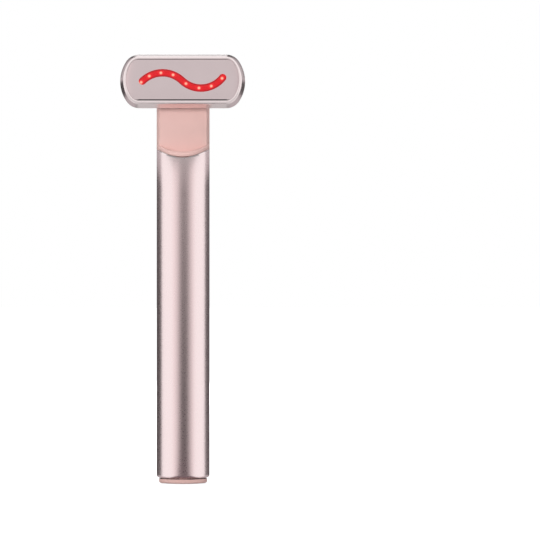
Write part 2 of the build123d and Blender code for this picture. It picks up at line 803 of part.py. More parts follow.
def head_bezel():
    bezel = face_prism(head_outline(0), head_front_y, head_seam_y)
    front_face = bezel.faces().sort_by(Axis.Y)[0]
    bezel = chamfer(front_face.edges(), rim_slope_width, rim_slope_depth, reference=front_face)
    front_face = bezel.faces().sort_by(Axis.Y)[0]
    bezel = fillet(front_face.edges(), rim_radius)
    bezel -= face_prism(head_outline(rim_width), head_front_y, plate_back_y)
    bezel -= face_prism(head_outline(ledge_inset), plate_back_y, ledge_back_y)
    return bezel - face_prism(head_outline(shell_wall), ledge_back_y, head_seam_y)


def face_plate():
    plate = face_prism(head_outline(plate_inset), plate_front_y, plate_back_y)
    return plate - face_prism(wave_outline(wave_width), plate_front_y, plate_back_y)


def plate_gasket():
    front = plate_back_y - gasket_height
    outer = face_prism(head_outline(rim_width + fit / 2), front, plate_back_y)
    return outer - face_prism(head_outline(plate_inset - fit / 2), front, plate_back_y)


def light_window():
    strip = wave_outline(wave_width - 2 * fit)
    lens = face_prism(strip, plate_front_y + window_recess, plate_back_y)
    flange = face_prism(wave_outline(window_flange_width), plate_back_y, flange_back_y)
    return lens + flange


def heater_film():
    sheet = face_prism(head_outline(heater_inset), plate_back_y, plate_back_y + heater_thickness)
    opening = wave_outline(window_flange_width + 4 * fit)
    return sheet - face_prism(opening, plate_back_y, plate_back_y + heater_thickness)


def thermistor():
    width, depth, height = thermistor_size
    front = plate_back_y + heater_thickness
    x, rise = thermistor_place
    z = pivot_z + rise
    return block(x - width / 2, x + width / 2, front, front + depth, z - height / 2, z + height / 2)


def light_board():
    board = face_prism(head_outline(shell_wall + light_board_inset), light_board_front_y, light_board_back_y)
    for x, z in standoff_places():
        board -= rod_y(screw_radius + fit, light_board_front_y, light_board_back_y, x, pivot_z + z)
    return board - rod_y(post_bore_radius, light_board_front_y, light_board_back_y, 0, pivot_z)


def light_emitters():
    """Row of lights under the window, along the wave."""
    lights = []
    for share in light_shares:
        (x, z), slope = wave_point(share * (crest_run + trough_run))
        place = Pos(x, light_board_front_y - light_size[1] / 2, pivot_z + z)
        lights.append(place * Rot(0, -slope, 0) * Box(*light_size))
    return lights


def light_board_screws():
    one = screw(screw_radius - fit, light_board_thickness + board_screw_length,
                screw_head_radius, screw_head_depth)
    return [Pos(x, light_board_front_y, pivot_z + z) * one for x, z in standoff_places()]


# ---- wires through the swivel ------------------------------------------------------------
def lead_ring():
    """Places of the wires round the swivel's axis."""
    return [on_circle((0, pivot_z), post_bore_radius / 2, angle) for angle in (45, 135, 225, 315)]


def head_leads():
    return [rod_y(lead_radius, light_board_back_y, post_end_y - fit, x, z) for x, z in lead_ring()]


def handle_leads():
    y = post_end_y + slack + lead_radius
    places = [lead_pitch * (index - 1.5) for index in range(4)]
    return [rod(lead_radius, board_top_z - lead_overlap, pivot_z + post_bore_radius, x, y) for x in places]


def contact_spring():
    """Leaf that touches the tube's bore and earths the handle through the board."""
    foot_y = board_front_y - leaf_thickness / 2
    foot_z = battery_top_z + leaf_rise
    bend_z = foot_z + leaf_foot
    tip_y = -sqrt(bore_radius**2 - (leaf_x + leaf_width / 2) ** 2) + leaf_thickness
    tip_z = bend_z + leaf_slope
    path = Polyline((foot_y, foot_z), (foot_y, bend_z), (tip_y, tip_z), (tip_y + leaf_curl, tip_z + 3 * leaf_curl))
    strip = extrude(trace(path, leaf_thickness), leaf_width / 2, both=True)
    return Pos(leaf_x, 0, 0) * (Plane.YZ * strip)


NODES = {
    "handle_tube": handle_tube,
    "end_cap": end_cap,
    "end_cap_seal": end_cap_seal,
    "inner_chassis": inner_chassis,
    "chassis_screws": chassis_screws,
    "main_board": main_board,
    "board_components": board_components,
    "usb_socket": usb_socket,
    "usb_tongue": usb_tongue,
    "battery": battery,
    "battery_pad": battery_pad,
    "battery_leads": battery_leads,
    "motor_can": motor_can,
    "motor_end_cap": motor_end_cap,
    "motor_magnet": motor_magnet,
    "motor_boot": motor_boot,
    "motor_leads": motor_leads,
    "motor_shaft": motor_shaft,
    "motor_coil": motor_coil,
    "eccentric_weight": eccentric_weight,
    "contact_spring": contact_spring,
    "neck_housing": neck_housing,
    "neck_rear_cover": neck_rear_cover,
    "power_button": power_button,
    "switch_plunger": switch_plunger,
    "switch_body": switch_body,
    "status_led": status_led,
    "status_light_pipe": status_light_pipe,
    "swivel_post": swivel_post,
    "post_screws": post_screws,
    "swivel_washer": swivel_washer,
    "thrust_washer": thrust_washer,
    "wave_washer": wave_washer,
    "retaining_clip": retaining_clip,
    "stop_pin": stop_pin,
    "head_rear_shell": head_rear_shell,
    "head_bezel": head_bezel,
    "face_plate": face_plate,
    "plate_gasket": plate_gasket,
    "light_window": light_window,
    "heater_film": heater_film,
    "thermistor": thermistor,
    "light_board": light_board,
    "light_emitters": light_emitters,
    "light_board_screws": light_board_screws,
    "head_leads": head_leads,
    "handle_leads": handle_leads,
}

os.makedirs("parts", exist_ok=True)
for name, make in NODES.items():
    shape = make()
    if isinstance(shape, list):
        shape = Compound(children=shape)
    export_step(shape, f"parts/{name}.step")
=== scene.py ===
"""Looks of the heated eye massager wand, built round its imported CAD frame."""
import math

import bmesh
import bpy
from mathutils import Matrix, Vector


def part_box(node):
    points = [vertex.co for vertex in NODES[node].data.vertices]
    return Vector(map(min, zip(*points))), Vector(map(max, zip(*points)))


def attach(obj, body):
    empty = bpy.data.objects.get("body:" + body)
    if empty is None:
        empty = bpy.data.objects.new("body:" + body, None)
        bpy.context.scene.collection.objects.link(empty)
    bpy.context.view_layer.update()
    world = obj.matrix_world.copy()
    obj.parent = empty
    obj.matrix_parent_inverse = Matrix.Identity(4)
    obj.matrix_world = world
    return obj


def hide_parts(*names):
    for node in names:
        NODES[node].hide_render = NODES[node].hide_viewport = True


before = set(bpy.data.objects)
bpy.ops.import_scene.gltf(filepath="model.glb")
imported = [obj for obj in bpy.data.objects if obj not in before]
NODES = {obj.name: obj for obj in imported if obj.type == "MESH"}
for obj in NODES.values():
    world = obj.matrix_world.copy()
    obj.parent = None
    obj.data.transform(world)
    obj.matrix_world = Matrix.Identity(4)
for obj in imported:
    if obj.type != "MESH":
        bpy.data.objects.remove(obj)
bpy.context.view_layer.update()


# ---- sizes, in millimetres; what the frame can tell is read from it -----------------------
MM = 0.001
TURN = 2 * math.pi
SAME_POINT = 1e-4          # points nearer to each other than this become one
FAR_AWAY = 1e6


def corners(node):
    """Lowest and highest corner of a CAD node, in millimetres."""
    low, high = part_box(node)
    return low / MM, high / MM


tube_low, tube_high = corners("handle_tube")
bezel_low, bezel_high = corners("head_bezel")
plate_low, plate_high = corners("face_plate")
cover_low, cover_high = corners("neck_rear_cover")
button_low, button_high = corners("power_button")
pipe_low, pipe_high = corners("status_light_pipe")
shell_high = corners("head_rear_shell")[1]
washer_high = corners("swivel_washer")[1]
cap_high = corners("end_cap")[1]

TUBE_RADIUS = tube_high.x
TUBE_WALL = 1.2
TUBE_FOOT_Z = tube_low.z
PLUG_RADIUS = TUBE_RADIUS - TUBE_WALL - 0.05   # of the neck's and the end cap's plugs in the tube
MOUTH_ARC = 14.6           # radius of the saddle-shaped mouth's arc
SADDLE_RISE = MOUTH_ARC - math.sqrt(MOUTH_ARC**2 - TUBE_RADIUS**2)
MOUTH_Z = tube_high.z - SADDLE_RISE

HEAD_HALF_LENGTH = bezel_high.x
HEAD_HALF_HEIGHT = (bezel_high.z - bezel_low.z) / 2
PIVOT_Z = (bezel_high.z + bezel_low.z) / 2
HEAD_END_RADIUS = 11.9
HEAD_CORNER_RADIUS = 5.25
HEAD_FRONT_Y = bezel_low.y
HEAD_SEAM_Y = bezel_high.y
HEAD_BACK_Y = shell_high.y
SHELL_WALL = 1.3
SHELL_EDGE = 1.1           # rounding of the rear shell's back edge
RIM_WIDTH = 2.0
RIM_SLOPE_WIDTH = 0.95
RIM_SLOPE_DEPTH = 2.35
RIM_BEVEL_WIDTH = 0.32     # inner bevel of the rim, next to the plate
RIM_BEVEL_DEPTH = 0.23
RIM_NOSE_LEAN = 14.0       # degrees; how far the rim's front already turns outwards at that edge
GROOVE_AT_ENDS = 0.02
GROOVE_DEPTH = 0.1         # from the plate's front to the dark bead in the groove
GROOVE_TOP_LESS = 0.15     # how much narrower the groove is above the plate
GROOVE_FOOT_MORE = 0.12    # how much wider it is below the plate
FACE_LIFT = 0.36           # the rim's opening and the plate sit a little above the head's middle
WAVE_LIFT = 0.25           # and so does the wave
LEDGE_INSET = 3.4          # from the head's edge to the bezel's inner opening
LEDGE_BACK_Y = plate_high.y + 1.05
PLATE_INSET = HEAD_HALF_LENGTH - plate_high.x
PLATE_FRONT_Y = plate_low.y
PLATE_BACK_Y = plate_high.y

WAVE_WIDTH = 2.12
CREST_HEIGHT = 2.45        # heights from the head's middle
TROUGH_HEIGHT = -2.65
WAVE_START_HEIGHT = -0.3
WAVE_LEFT_X = 7.55 - HEAD_HALF_LENGTH
WAVE_RIGHT_X = HEAD_HALF_LENGTH - 7.5
HALF_WAVE_SHARE = 0.48     # crest to trough, as a share of the wave's span
WAVE_LIP = 0.22            # polished bevel of the plate's opening for the wave
LIGHT_SHARES = (-0.02, 0.095, 0.23, 0.37, 0.545, 0.7, 0.84, 0.99)   # places along the wave

NECK_FRONT_Y = washer_high.y
NECK_BACK_Y = cover_high.y
NECK_SPLIT_Y = cover_low.y
NECK_WALL = 1.3
NECK_BACK_EDGE = 1.4
ARCH_FRONT_EDGE = 0.4
NECK_FLAT_HALF = 7.95      # half width of the neck's flat front
WALL_SHARE_AT_EDGE = 0.68  # how far the flat's edge moves in with the wall: the stop slot stays in the flat
NECK_SEAM = 0.07           # bevel of the neck's halves at their seam
NEAR_SEAM = 0.3            # nearer to the seam than this, the section's own points are left out
COVER_GAP = 0.01           # from the neck shell's seam to the cover's
MOUTH_GAP = 0.12
LIP_TOP = MOUTH_GAP + 1.65
NECK_FOOT_Z = MOUTH_Z + LIP_TOP - 0.6
LIP_EDGE_IN = 0.75         # rounding of the lip's upper edge
LIP_EDGE_DOWN = 0.95
BUTTON_Z = (button_low.z + button_high.z) / 2
BUTTON_RADIUS = 3.9
BUTTON_BACK_Y = button_high.y
PIPE_Z = (pipe_low.z + pipe_high.z) / 2
PIPE_RADIUS = 0.8
PORT_HALF_WIDTH = 4.62
PORT_HALF_HEIGHT = 1.73
POST_BORE = 3.04
STOP_CIRCLE = 6.2
STOP_SLOT_HALF = 0.7
STOP_SLOT_REACH = 96.0     # degrees each side of straight up

# ---- camera -------------------------------------------------------------------------------
CAMERA_PLACE = (0.0293, -1.3, 0.0717)    # metres
CAMERA_LENS = 257.0
CAMERA_SENSOR = 36.0

# ---- stage, in metres ---------------------------------------------------------------------
WHITE = (1.0, 1.0, 1.0, 1.0)
CARD_DISTANCE = 0.26
# the front flag: places across it and how much of its darkness they show, heights and their darkness
CARD_X = (-0.26, -0.20, -0.11, -0.025, 0.074, 0.145, 0.23, 0.31)
CARD_FADE = (0.0, 0.06, 0.32, 1.0, 1.0, 0.54, 0.18, 0.0)
CARD_Z = (-0.20, 0.0, 0.05, 0.09, 0.12, 0.16, 0.28)
CARD_DARK = (0.95, 0.92, 0.87, 0.75, 0.68, 0.62, 0.46)
# the rear flags: heights and how far they are lightened there, directions and strengths
REAR_Z = (-1.1, -0.14, -0.09, 0.158, 0.172, 1.1)
REAR_BAND = (1.0, 1.0, 0.0, 0.0, 1.0, 1.0)
REAR_RIGHT = (111, 178)    # degrees round the wand, 0 in front
REAR_LEFT = (-106, -170)
REAR_LOW_RIGHT = 0.085
REAR_LOW_LEFT = 0.055
REAR_HIGH = 0.5
# the grey flags near the head
HEAD_CARD = (0.73, 0.73, 0.73, 1.0)
HEAD_CARD_HALF = 0.038
HEAD_CARD_Y = -0.055
HEAD_CARD_LOW = 0.124
HEAD_CARD_HIGH = 0.2
SHELF_NEAR_Y = -0.0112
HEAD_SHELF = 0.70
SHELF_UNDERSIDE = 0.40
GROUND_SEEN = 0.62
GROUND_SEEN_ASIDE = 0.92
WORLD_LIT = 0.42
FLOOR_RADIUS = 6.0
FLOOR_DROP = 0.0002
FLOOR_NEAR_GLOW = 0.8

# each lamp's place, the height that it faces on the wand's axis, its width and height, and its watts
LAMPS = {
    "key": ((-0.2, -1.1, 0.30), 0.09, (0.8, 0.45), 7.4),
    "top": ((0.0, -0.5, 1.1), 0.1, (0.6, 0.4), 1.4),
    "back": ((0.1, 1.1, 0.35), 0.09, (0.7, 0.5), 7.0),
    "side_left": ((-0.95, 0.75, 0.25), 0.09, (0.6, 0.5), 2.6),
    "side_right": ((0.95, 0.75, 0.25), 0.09, (0.6, 0.5), 2.6),
}


# ---- node trees ---------------------------------------------------------------------------
class Tree:
    """Short calls for building the nodes of one material or of the world."""

    def __init__(self, owner, output="OutputMaterial", place="Object"):
        owner.use_nodes = True
        self.owner = owner
        self.tree = owner.node_tree
        self.tree.nodes.clear()
        self.output = self.node(output)
        self.place = self.node("TexCoord").outputs[place]

    def node(self, kind, **settings):
        made = self.tree.nodes.new("ShaderNode" + kind)
        for key, value in settings.items():
            setattr(made, key, value)
        return made

    def join(self, source, target):
        self.tree.links.new(source, target)

    def put(self, socket, value):
        """Links a socket, or sets a constant."""
        if isinstance(value, bpy.types.NodeSocket):
            self.join(value, socket)
        else:
            socket.default_value = value

    def noise(self, size, detail=2.0, roughness=0.5, seed=0.0):
        """Noise whose features are about size millimetres wide."""
        made = self.node("TexNoise", noise_dimensions="4D")
        self.join(self.place, made.inputs["Vector"])
        made.inputs["W"].default_value = seed
        made.inputs["Scale"].default_value = 1 / (size * MM)
        made.inputs["Detail"].default_value = detail
        made.inputs["Roughness"].default_value = roughness
        return made.outputs["Fac"]

    def spread(self, value, low, high, source_low=0.3, source_high=0.7):
        """Maps source_low..source_high of a value onto low..high."""
        made = self.node("MapRange")
        self.join(value, made.inputs["Value"])
        made.inputs["From Min"].default_value = source_low
        made.inputs["From Max"].default_value = source_high
        self.put(made.inputs["To Min"], low)
        self.put(made.inputs["To Max"], high)
        return made.outputs["Result"]

    def split(self, vector):
        """The X, Y and Z of a vector."""
        made = self.node("SeparateXYZ")
        self.join(vector, made.inputs["Vector"])
        return made.outputs

    def maths(self, operation, first, second=0.0):
        made = self.node("Math", operation=operation)
        self.put(made.inputs[0], first)
        self.put(made.inputs[1], second)
        return made.outputs["Value"]

    def blend(self, share, first, second, kind="RGBA"):
        """Mixes two colours, or two numbers where kind is FLOAT."""
        made = self.node("Mix", data_type=kind)
        self.put(made.inputs["Factor"], share)
        self.put(made.inputs["A"], first)
        self.put(made.inputs["B"], second)
        return made.outputs["Result"]

    def bump(self, height, depth):
        """Relief whose full height is depth millimetres."""
        made = self.node("Bump")
        made.inputs["Strength"].default_value = 1.0
        made.inputs["Distance"].default_value = depth * MM
        self.join(height, made.inputs["Height"])
        return made.outputs["Normal"]

    def glow(self, strength=1.0, colour=WHITE):
        """Light of its own."""
        made = self.node("Emission")
        self.put(made.inputs["Color"], colour)
        self.put(made.inputs["Strength"], strength)
        return made.outputs["Emission"]

    def show(self, shader):
        """Ends the tree with a shader."""
        self.join(shader, self.output.inputs["Surface"])
        return self.owner

    def surface(self, **values):
        """Ends the tree with a principled shader, from socket names written with underscores."""
        made = self.node("BsdfPrincipled")
        for key, value in values.items():
            self.put(made.inputs[key.replace("_", " ")], value)
        return self.show(made.outputs["BSDF"])


def material_tree(name):
    """Empty tree of a new material."""
    return Tree(bpy.data.materials.new(name))


def tint(colour, factor):
    """A colour made lighter or darker."""
    return tuple(channel * factor for channel in colour[:3]) + (1.0,)


SPECKLE = 0.006            # how far the metals' grain lightens and darkens their colour
BLOTCH_SIZE = 9.0
PLASTIC_GRAIN = 0.18
PLASTIC_BLOTCH = 6.0
PLASTIC_SHADE = 0.05
PLASTIC_RELIEF = 0.006


def metal(name, colour, roughness, grain=0.25, relief=0.004, blotch=0.02, shade=0.015, metallic=1.0,
          sparkle=0.02):
    """Anodised or polished metal with blasted grain and faint blotches."""
    t = material_tree(name)
    fine = t.noise(grain, detail=3.0, roughness=0.6)
    broad = t.noise(BLOTCH_SIZE, seed=3.0)
    blotches = t.spread(broad, 0, 1)
    low = t.blend(blotches, tint(colour, 1 - shade - SPECKLE), tint(colour, 1 + shade - SPECKLE))
    high = t.blend(blotches, tint(colour, 1 - shade + SPECKLE), tint(colour, 1 + shade + SPECKLE))
    speckled = t.blend(t.spread(fine, 0, 1, 0.25, 0.75), low, high)
    rough = t.maths("ADD", t.spread(broad, roughness - blotch, roughness + blotch),
                    t.spread(fine, -sparkle, sparkle))
    return t.surface(Base_Color=speckled, Metallic=metallic, Roughness=rough, Normal=t.bump(fine, relief))


def plastic(name, colour, roughness=0.42):
    """Moulded plastic with a fine spark-eroded texture."""
    t = material_tree(name)
    fine = t.noise(PLASTIC_GRAIN, detail=3.0, roughness=0.55)
    broad = t.noise(PLASTIC_BLOTCH, seed=1.0)
    shaded = t.blend(t.spread(broad, 0, 1), tint(colour, 1 - PLASTIC_SHADE), colour)
    rough = t.spread(fine, roughness - 0.05, roughness + 0.05)
    return t.surface(Base_Color=shaded, Roughness=rough, Normal=t.bump(fine, PLASTIC_RELIEF))


ROSE = (0.955, 0.80, 0.803, 1.0)
ROSE_BRIGHT = (0.91, 0.80, 0.80, 1.0)
ROSE_PAINT = (0.86, 0.73, 0.73, 1.0)
ROSE_PLATE = (0.80, 0.67, 0.68, 1.0)
PINK = (0.80, 0.52, 0.48, 1.0)

rose_satin = metal("rose_satin", ROSE, 0.29, grain=0.5, relief=0.006, sparkle=0.03, blotch=0.0, shade=0.0)
rose_polished = metal("rose_polished", ROSE_BRIGHT, 0.13, grain=0.5, relief=0.0001)
rose_frame = metal("rose_frame", ROSE_BRIGHT, 0.23, grain=0.4, relief=0.0003)
rose_paint = metal("rose_paint", ROSE_PAINT, 0.36, grain=0.3, relief=0.002, metallic=0.45)
plate_satin = metal("plate_satin", ROSE_PLATE, 0.25, grain=0.4, relief=0.002, blotch=0.0)
pink_plastic = plastic("pink_plastic", PINK)
dark_rubber = plastic("dark_rubber", (0.02, 0.02, 0.022, 1.0), roughness=0.7)
clear_plastic = plastic("clear_plastic", (0.85, 0.86, 0.88, 1.0), roughness=0.2)

# what each slot of the carried-over CAD nodes wears
SLOT_MATERIALS = {
    "rose_tube": rose_satin,
    "rose_frame": rose_frame,
    "face_metal": plate_satin,
    "pink_plastic": pink_plastic,
    "dark_rubber": dark_rubber,
    "clear_plastic": clear_plastic,
    "white_plastic": plastic("white_plastic", (0.74, 0.73, 0.70, 1.0)),
    "chip_black": plastic("chip_black", (0.018, 0.018, 0.02, 1.0), roughness=0.5),
    "board": plastic("board_green", (0.02, 0.13, 0.06, 1.0), roughness=0.35),
    "lead_red": plastic("lead_red", (0.55, 0.03, 0.02, 1.0), roughness=0.45),
    "light_chip": plastic("light_chip", (0.9, 0.82, 0.55, 1.0), roughness=0.3),
    "film_amber": plastic("film_amber", (0.65, 0.30, 0.05, 1.0), roughness=0.3),
    "steel": metal("steel", (0.62, 0.61, 0.60, 1.0), 0.28, grain=0.3),
    "brass": metal("brass", (0.80, 0.60, 0.28, 1.0), 0.3),
    "copper": metal("copper", (0.80, 0.40, 0.25, 1.0), 0.32),
    "cell_foil": metal("cell_foil", (0.70, 0.70, 0.72, 1.0), 0.35, grain=1.2, relief=0.02),
}


def dress_nodes():
    """Gives each carried-over CAD node its procedural material."""
    for node in NODES.values():
        for index, slot in enumerate(node.material_slots):
            made = SLOT_MATERIALS.get(slot.material.name.split(".")[0])
            if made:
                node.data.materials[index] = made


# ---- meshes -------------------------------------------------------------------------------
SHARP_ANGLE = 35           # degrees; edges that turn more are drawn sharp


def add_piece(name, bm, materials, body, replaced):
    """Turns a bmesh in millimetres into a piece that rides on a body in place of a CAD node."""
    bmesh.ops.remove_doubles(bm, verts=bm.verts, dist=SAME_POINT)
    bmesh.ops.scale(bm, vec=(MM, MM, MM), verts=bm.verts)
    bmesh.ops.recalc_face_normals(bm, faces=bm.faces)
    mesh = bpy.data.meshes.new(name)
    bm.to_mesh(mesh)
    bm.free()
    for material in materials:
        mesh.materials.append(material)
    mesh.shade_smooth()
    mesh.set_sharp_from_angle(angle=math.radians(SHARP_ANGLE))
    piece = bpy.data.objects.new(name, mesh)
    bpy.context.scene.collection.objects.link(piece)
    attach(piece, body)
    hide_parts(replaced)


def skin(bm, rows, wrap=False, accents=()):
    """Quads between closed loops of points; wrap joins the last loop to the first.

    The steps between loops that accents names wear the piece's second material.
    """
    loops = [[bm.verts.new(point) for point in row] for row in rows]
    pairs = list(zip(loops, loops[1:]))
    if wrap:
        pairs.append((loops[-1], loops[0]))
    for step, (lower, upper) in enumerate(pairs):
        for index in range(len(lower)):
            after = (index + 1) % len(lower)
            face = bm.faces.new((lower[index], lower[after], upper[after], upper[index]))
            face.material_index = int(step in accents)
    return loops


def turns(steps):
    """Angles of a full turn in equal steps."""
    return [TURN * step / steps for step in range(steps)]


def arc(centre, radius, start, end, steps):
    """Points of an arc, angles in degrees, both ends included."""
    across, up = centre
    angles = [math.radians(start + (end - start) * step / steps) for step in range(steps + 1)]
    return [(across + radius * math.cos(angle), up + radius * math.sin(angle)) for angle in angles]


# ---- wave ---------------------------------------------------------------------------------
CREST_X = WAVE_LEFT_X / 2
TROUGH_X = CREST_X + HALF_WAVE_SHARE * (WAVE_RIGHT_X - WAVE_LEFT_X)
START_DROP = CREST_HEIGHT - WAVE_START_HEIGHT
WAVE_HEIGHT = CREST_HEIGHT - TROUGH_HEIGHT
CREST_RADIUS = ((CREST_X - WAVE_LEFT_X) ** 2 + START_DROP**2) / (2 * START_DROP)
TROUGH_RADIUS = ((TROUGH_X - CREST_X) ** 2 + WAVE_HEIGHT**2) / (2 * WAVE_HEIGHT) - CREST_RADIUS
CREST_CENTRE = (CREST_X, CREST_HEIGHT - CREST_RADIUS)
TROUGH_CENTRE = (TROUGH_X, TROUGH_HEIGHT + TROUGH_RADIUS)
LEFT_ANGLE = 90 + math.degrees(math.asin((CREST_X - WAVE_LEFT_X) / CREST_RADIUS))
JOIN_ANGLE = math.degrees(math.atan2(TROUGH_CENTRE[1] - CREST_CENTRE[1], TROUGH_X - CREST_X))
RIGHT_ANGLE = 270 + math.degrees(math.asin((WAVE_RIGHT_X - TROUGH_X) / TROUGH_RADIUS))
CREST_RUN = CREST_RADIUS * math.radians(LEFT_ANGLE - JOIN_ANGLE)
TROUGH_RUN = TROUGH_RADIUS * math.radians(RIGHT_ANGLE - JOIN_ANGLE - 180)
WAVE_RUN = CREST_RUN + TROUGH_RUN


def wave_at(along):
    """Point on the wave's centre line and its direction, at a distance from the left end."""
    if along <= CREST_RUN:
        turn = math.radians(LEFT_ANGLE) - along / CREST_RADIUS
        point = Vector(CREST_CENTRE) + CREST_RADIUS * Vector((math.cos(turn), math.sin(turn)))
        return point, Vector((math.sin(turn), -math.cos(turn)))
    turn = math.radians(JOIN_ANGLE + 180) + (along - CREST_RUN) / TROUGH_RADIUS
    point = Vector(TROUGH_CENTRE) + TROUGH_RADIUS * Vector((math.cos(turn), math.sin(turn)))
    return point, Vector((-math.sin(turn), math.cos(turn)))


WAVE_STEPS = 96
WAVE_END_STEPS = 14


def wave_loop(half):
    """Closed outline of the wave strip, half millimetres either side of its centre line."""
    runs = [WAVE_RUN * step / WAVE_STEPS for step in range(WAVE_STEPS + 1)]
    points = []
    for side, ordered in ((1, runs), (-1, runs[::-1])):
        for along in ordered:
            centre, way = wave_at(along)
            points.append(centre + side * half * Vector((-way.y, way.x)))
        centre, way = wave_at(ordered[-1])
        across = Vector((-way.y, way.x))
        for step in range(1, WAVE_END_STEPS):
            turn = math.pi * step / WAVE_END_STEPS
            points.append(centre + half * side * (across * math.cos(turn) + way * math.sin(turn)))
    return points


# ---- head outline -------------------------------------------------------------------------
END_X = HEAD_HALF_LENGTH - HEAD_END_RADIUS
CORNER_Z = HEAD_HALF_HEIGHT - HEAD_CORNER_RADIUS
CORNER_X = END_X + math.sqrt((HEAD_END_RADIUS - HEAD_CORNER_RADIUS) ** 2 - CORNER_Z**2)
LEAN = math.degrees(math.atan2(CORNER_Z, CORNER_X - END_X))
END_STEPS = 20
CORNER_STEPS = 24
STRAIGHT_STEPS = 24


def head_loop(inset):
    """The head's closed outline, drawn inset."""
    end = arc((END_X, 0), HEAD_END_RADIUS - inset, -LEAN, LEAN, END_STEPS)
    upper = arc((CORNER_X, CORNER_Z), HEAD_CORNER_RADIUS - inset, LEAN, 90, CORNER_STEPS)
    lower = [(x, -z) for x, z in reversed(upper)]
    right = lower[:-1] + end + upper[1:]
    top = HEAD_HALF_HEIGHT - inset
    run = [(CORNER_X * (1 - 2 * step / STRAIGHT_STEPS), top) for step in range(1, STRAIGHT_STEPS)]
    half = right + run
    return half + [(-x, -z) for x, z in half]


def facing(loop, y, lift=0.0):
    """Points of a flat outline placed on the head at depth y."""
    return [(x, y, PIVOT_Z + z + lift) for x, z in loop]


def loop_edges(bm, loop):
    """Edges of a closed loop of vertices, added where they are missing."""
    pairs = [(loop[index - 1], loop[index]) for index in range(len(loop))]
    return [bm.edges.get(pair) or bm.edges.new(pair) for pair in pairs]


def fill(bm, *loops):
    """Flat face bounded by one loop, with the other loops as holes in it."""
    edges = [edge for loop in loops for edge in loop_edges(bm, loop)]
    bmesh.ops.triangle_fill(bm, use_beauty=True, use_dissolve=False, edges=edges)


RIM_NOSE_STEPS = 16


def rim_profile():
    """Outside of the bezel from the seam to the rim's inner edge, as (inset, y)."""
    slope = math.atan2(RIM_SLOPE_DEPTH, RIM_SLOPE_WIDTH)
    nose_lean = math.radians(RIM_NOSE_LEAN)
    bevel_start = RIM_WIDTH - RIM_BEVEL_WIDTH
    bevel_foot_y = HEAD_FRONT_Y + RIM_BEVEL_DEPTH
    radius = (bevel_start - RIM_SLOPE_WIDTH) / (math.sin(slope) - math.sin(nose_lean))
    slope_front = HEAD_FRONT_Y + radius * (math.cos(nose_lean) - math.cos(slope))
    centre = (RIM_SLOPE_WIDTH + radius * math.sin(slope), slope_front + radius * math.cos(slope))
    profile = [(0.1, HEAD_SEAM_Y), (0.02, HEAD_SEAM_Y - 0.05), (0, HEAD_SEAM_Y - 0.13)]
    for step in range(RIM_NOSE_STEPS + 1):
        lean = slope + (nose_lean - slope) * step / RIM_NOSE_STEPS
        profile.append((centre[0] - radius * math.sin(lean), centre[1] - radius * math.cos(lean)))
    profile += [(bevel_start + 0.04, HEAD_FRONT_Y + 0.012), (RIM_WIDTH - 0.03, bevel_foot_y - 0.02),
                (RIM_WIDTH, bevel_foot_y + 0.02), (RIM_WIDTH, PLATE_FRONT_Y + 0.03)]
    return profile


def make_bezel():
    """Head's front frame: its rim, its side down to the seam and the ledge behind the plate."""
    bm = bmesh.new()
    profile = rim_profile() + [
        (RIM_WIDTH, PLATE_BACK_Y),
        (LEDGE_INSET, PLATE_BACK_Y),
        (LEDGE_INSET, LEDGE_BACK_Y),
        (SHELL_WALL, LEDGE_BACK_Y),
        (SHELL_WALL, HEAD_SEAM_Y),
    ]
    lift_end_y = PLATE_BACK_Y + 0.5
    rows = []
    for inset, y in profile:
        share = 0.0 if y > lift_end_y else min(1.0, inset / RIM_WIDTH)
        rows.append(facing(head_loop(inset), y, FACE_LIFT * share))
    skin(bm, rows, wrap=True)
    add_piece("bezel_ring", bm, [rose_frame], "head", "head_bezel")


def make_rear_shell():
    """Head's hollow back, with a rounded edge."""
    bm = bmesh.new()
    profile = [(SHELL_WALL, HEAD_BACK_Y - SHELL_WALL), (SHELL_WALL, HEAD_SEAM_Y), (0.12, HEAD_SEAM_Y),
               (0.03, HEAD_SEAM_Y + 0.04), (0, HEAD_SEAM_Y + 0.12)]
    steps = 12
    for step in range(steps + 1):
        turn = math.pi / 2 * step / steps
        depth = SHELL_EDGE * (1 - math.sin(turn))
        profile.append((SHELL_EDGE * (1 - math.cos(turn)), HEAD_BACK_Y - depth))
    loops = skin(bm, [facing(head_loop(inset), y) for inset, y in profile])
    fill(bm, loops[0])
    fill(bm, loops[-1])
    add_piece("rear_shell", bm, [rose_paint], "head", "head_rear_shell")


def plate_loop(inset):
    """The plate's outline: it nears the rim towards the head's ends, where the groove closes."""
    wide = head_loop(PLATE_INSET + inset)
    tight = head_loop(RIM_WIDTH + GROOVE_AT_ENDS + inset)
    points = []
    for (x, z), (tight_x, tight_z) in zip(wide, tight):
        way = Vector((tight_x - x, tight_z - z))
        share = min(1.0, 2.2 * abs(way.x) / max(way.length, 1e-9))
        rise = GROOVE_TOP_LESS if z > 0 else GROOVE_FOOT_MORE
        points.append((x + share * way.x, z + share * way.y + (1 - share) * rise))
    return points


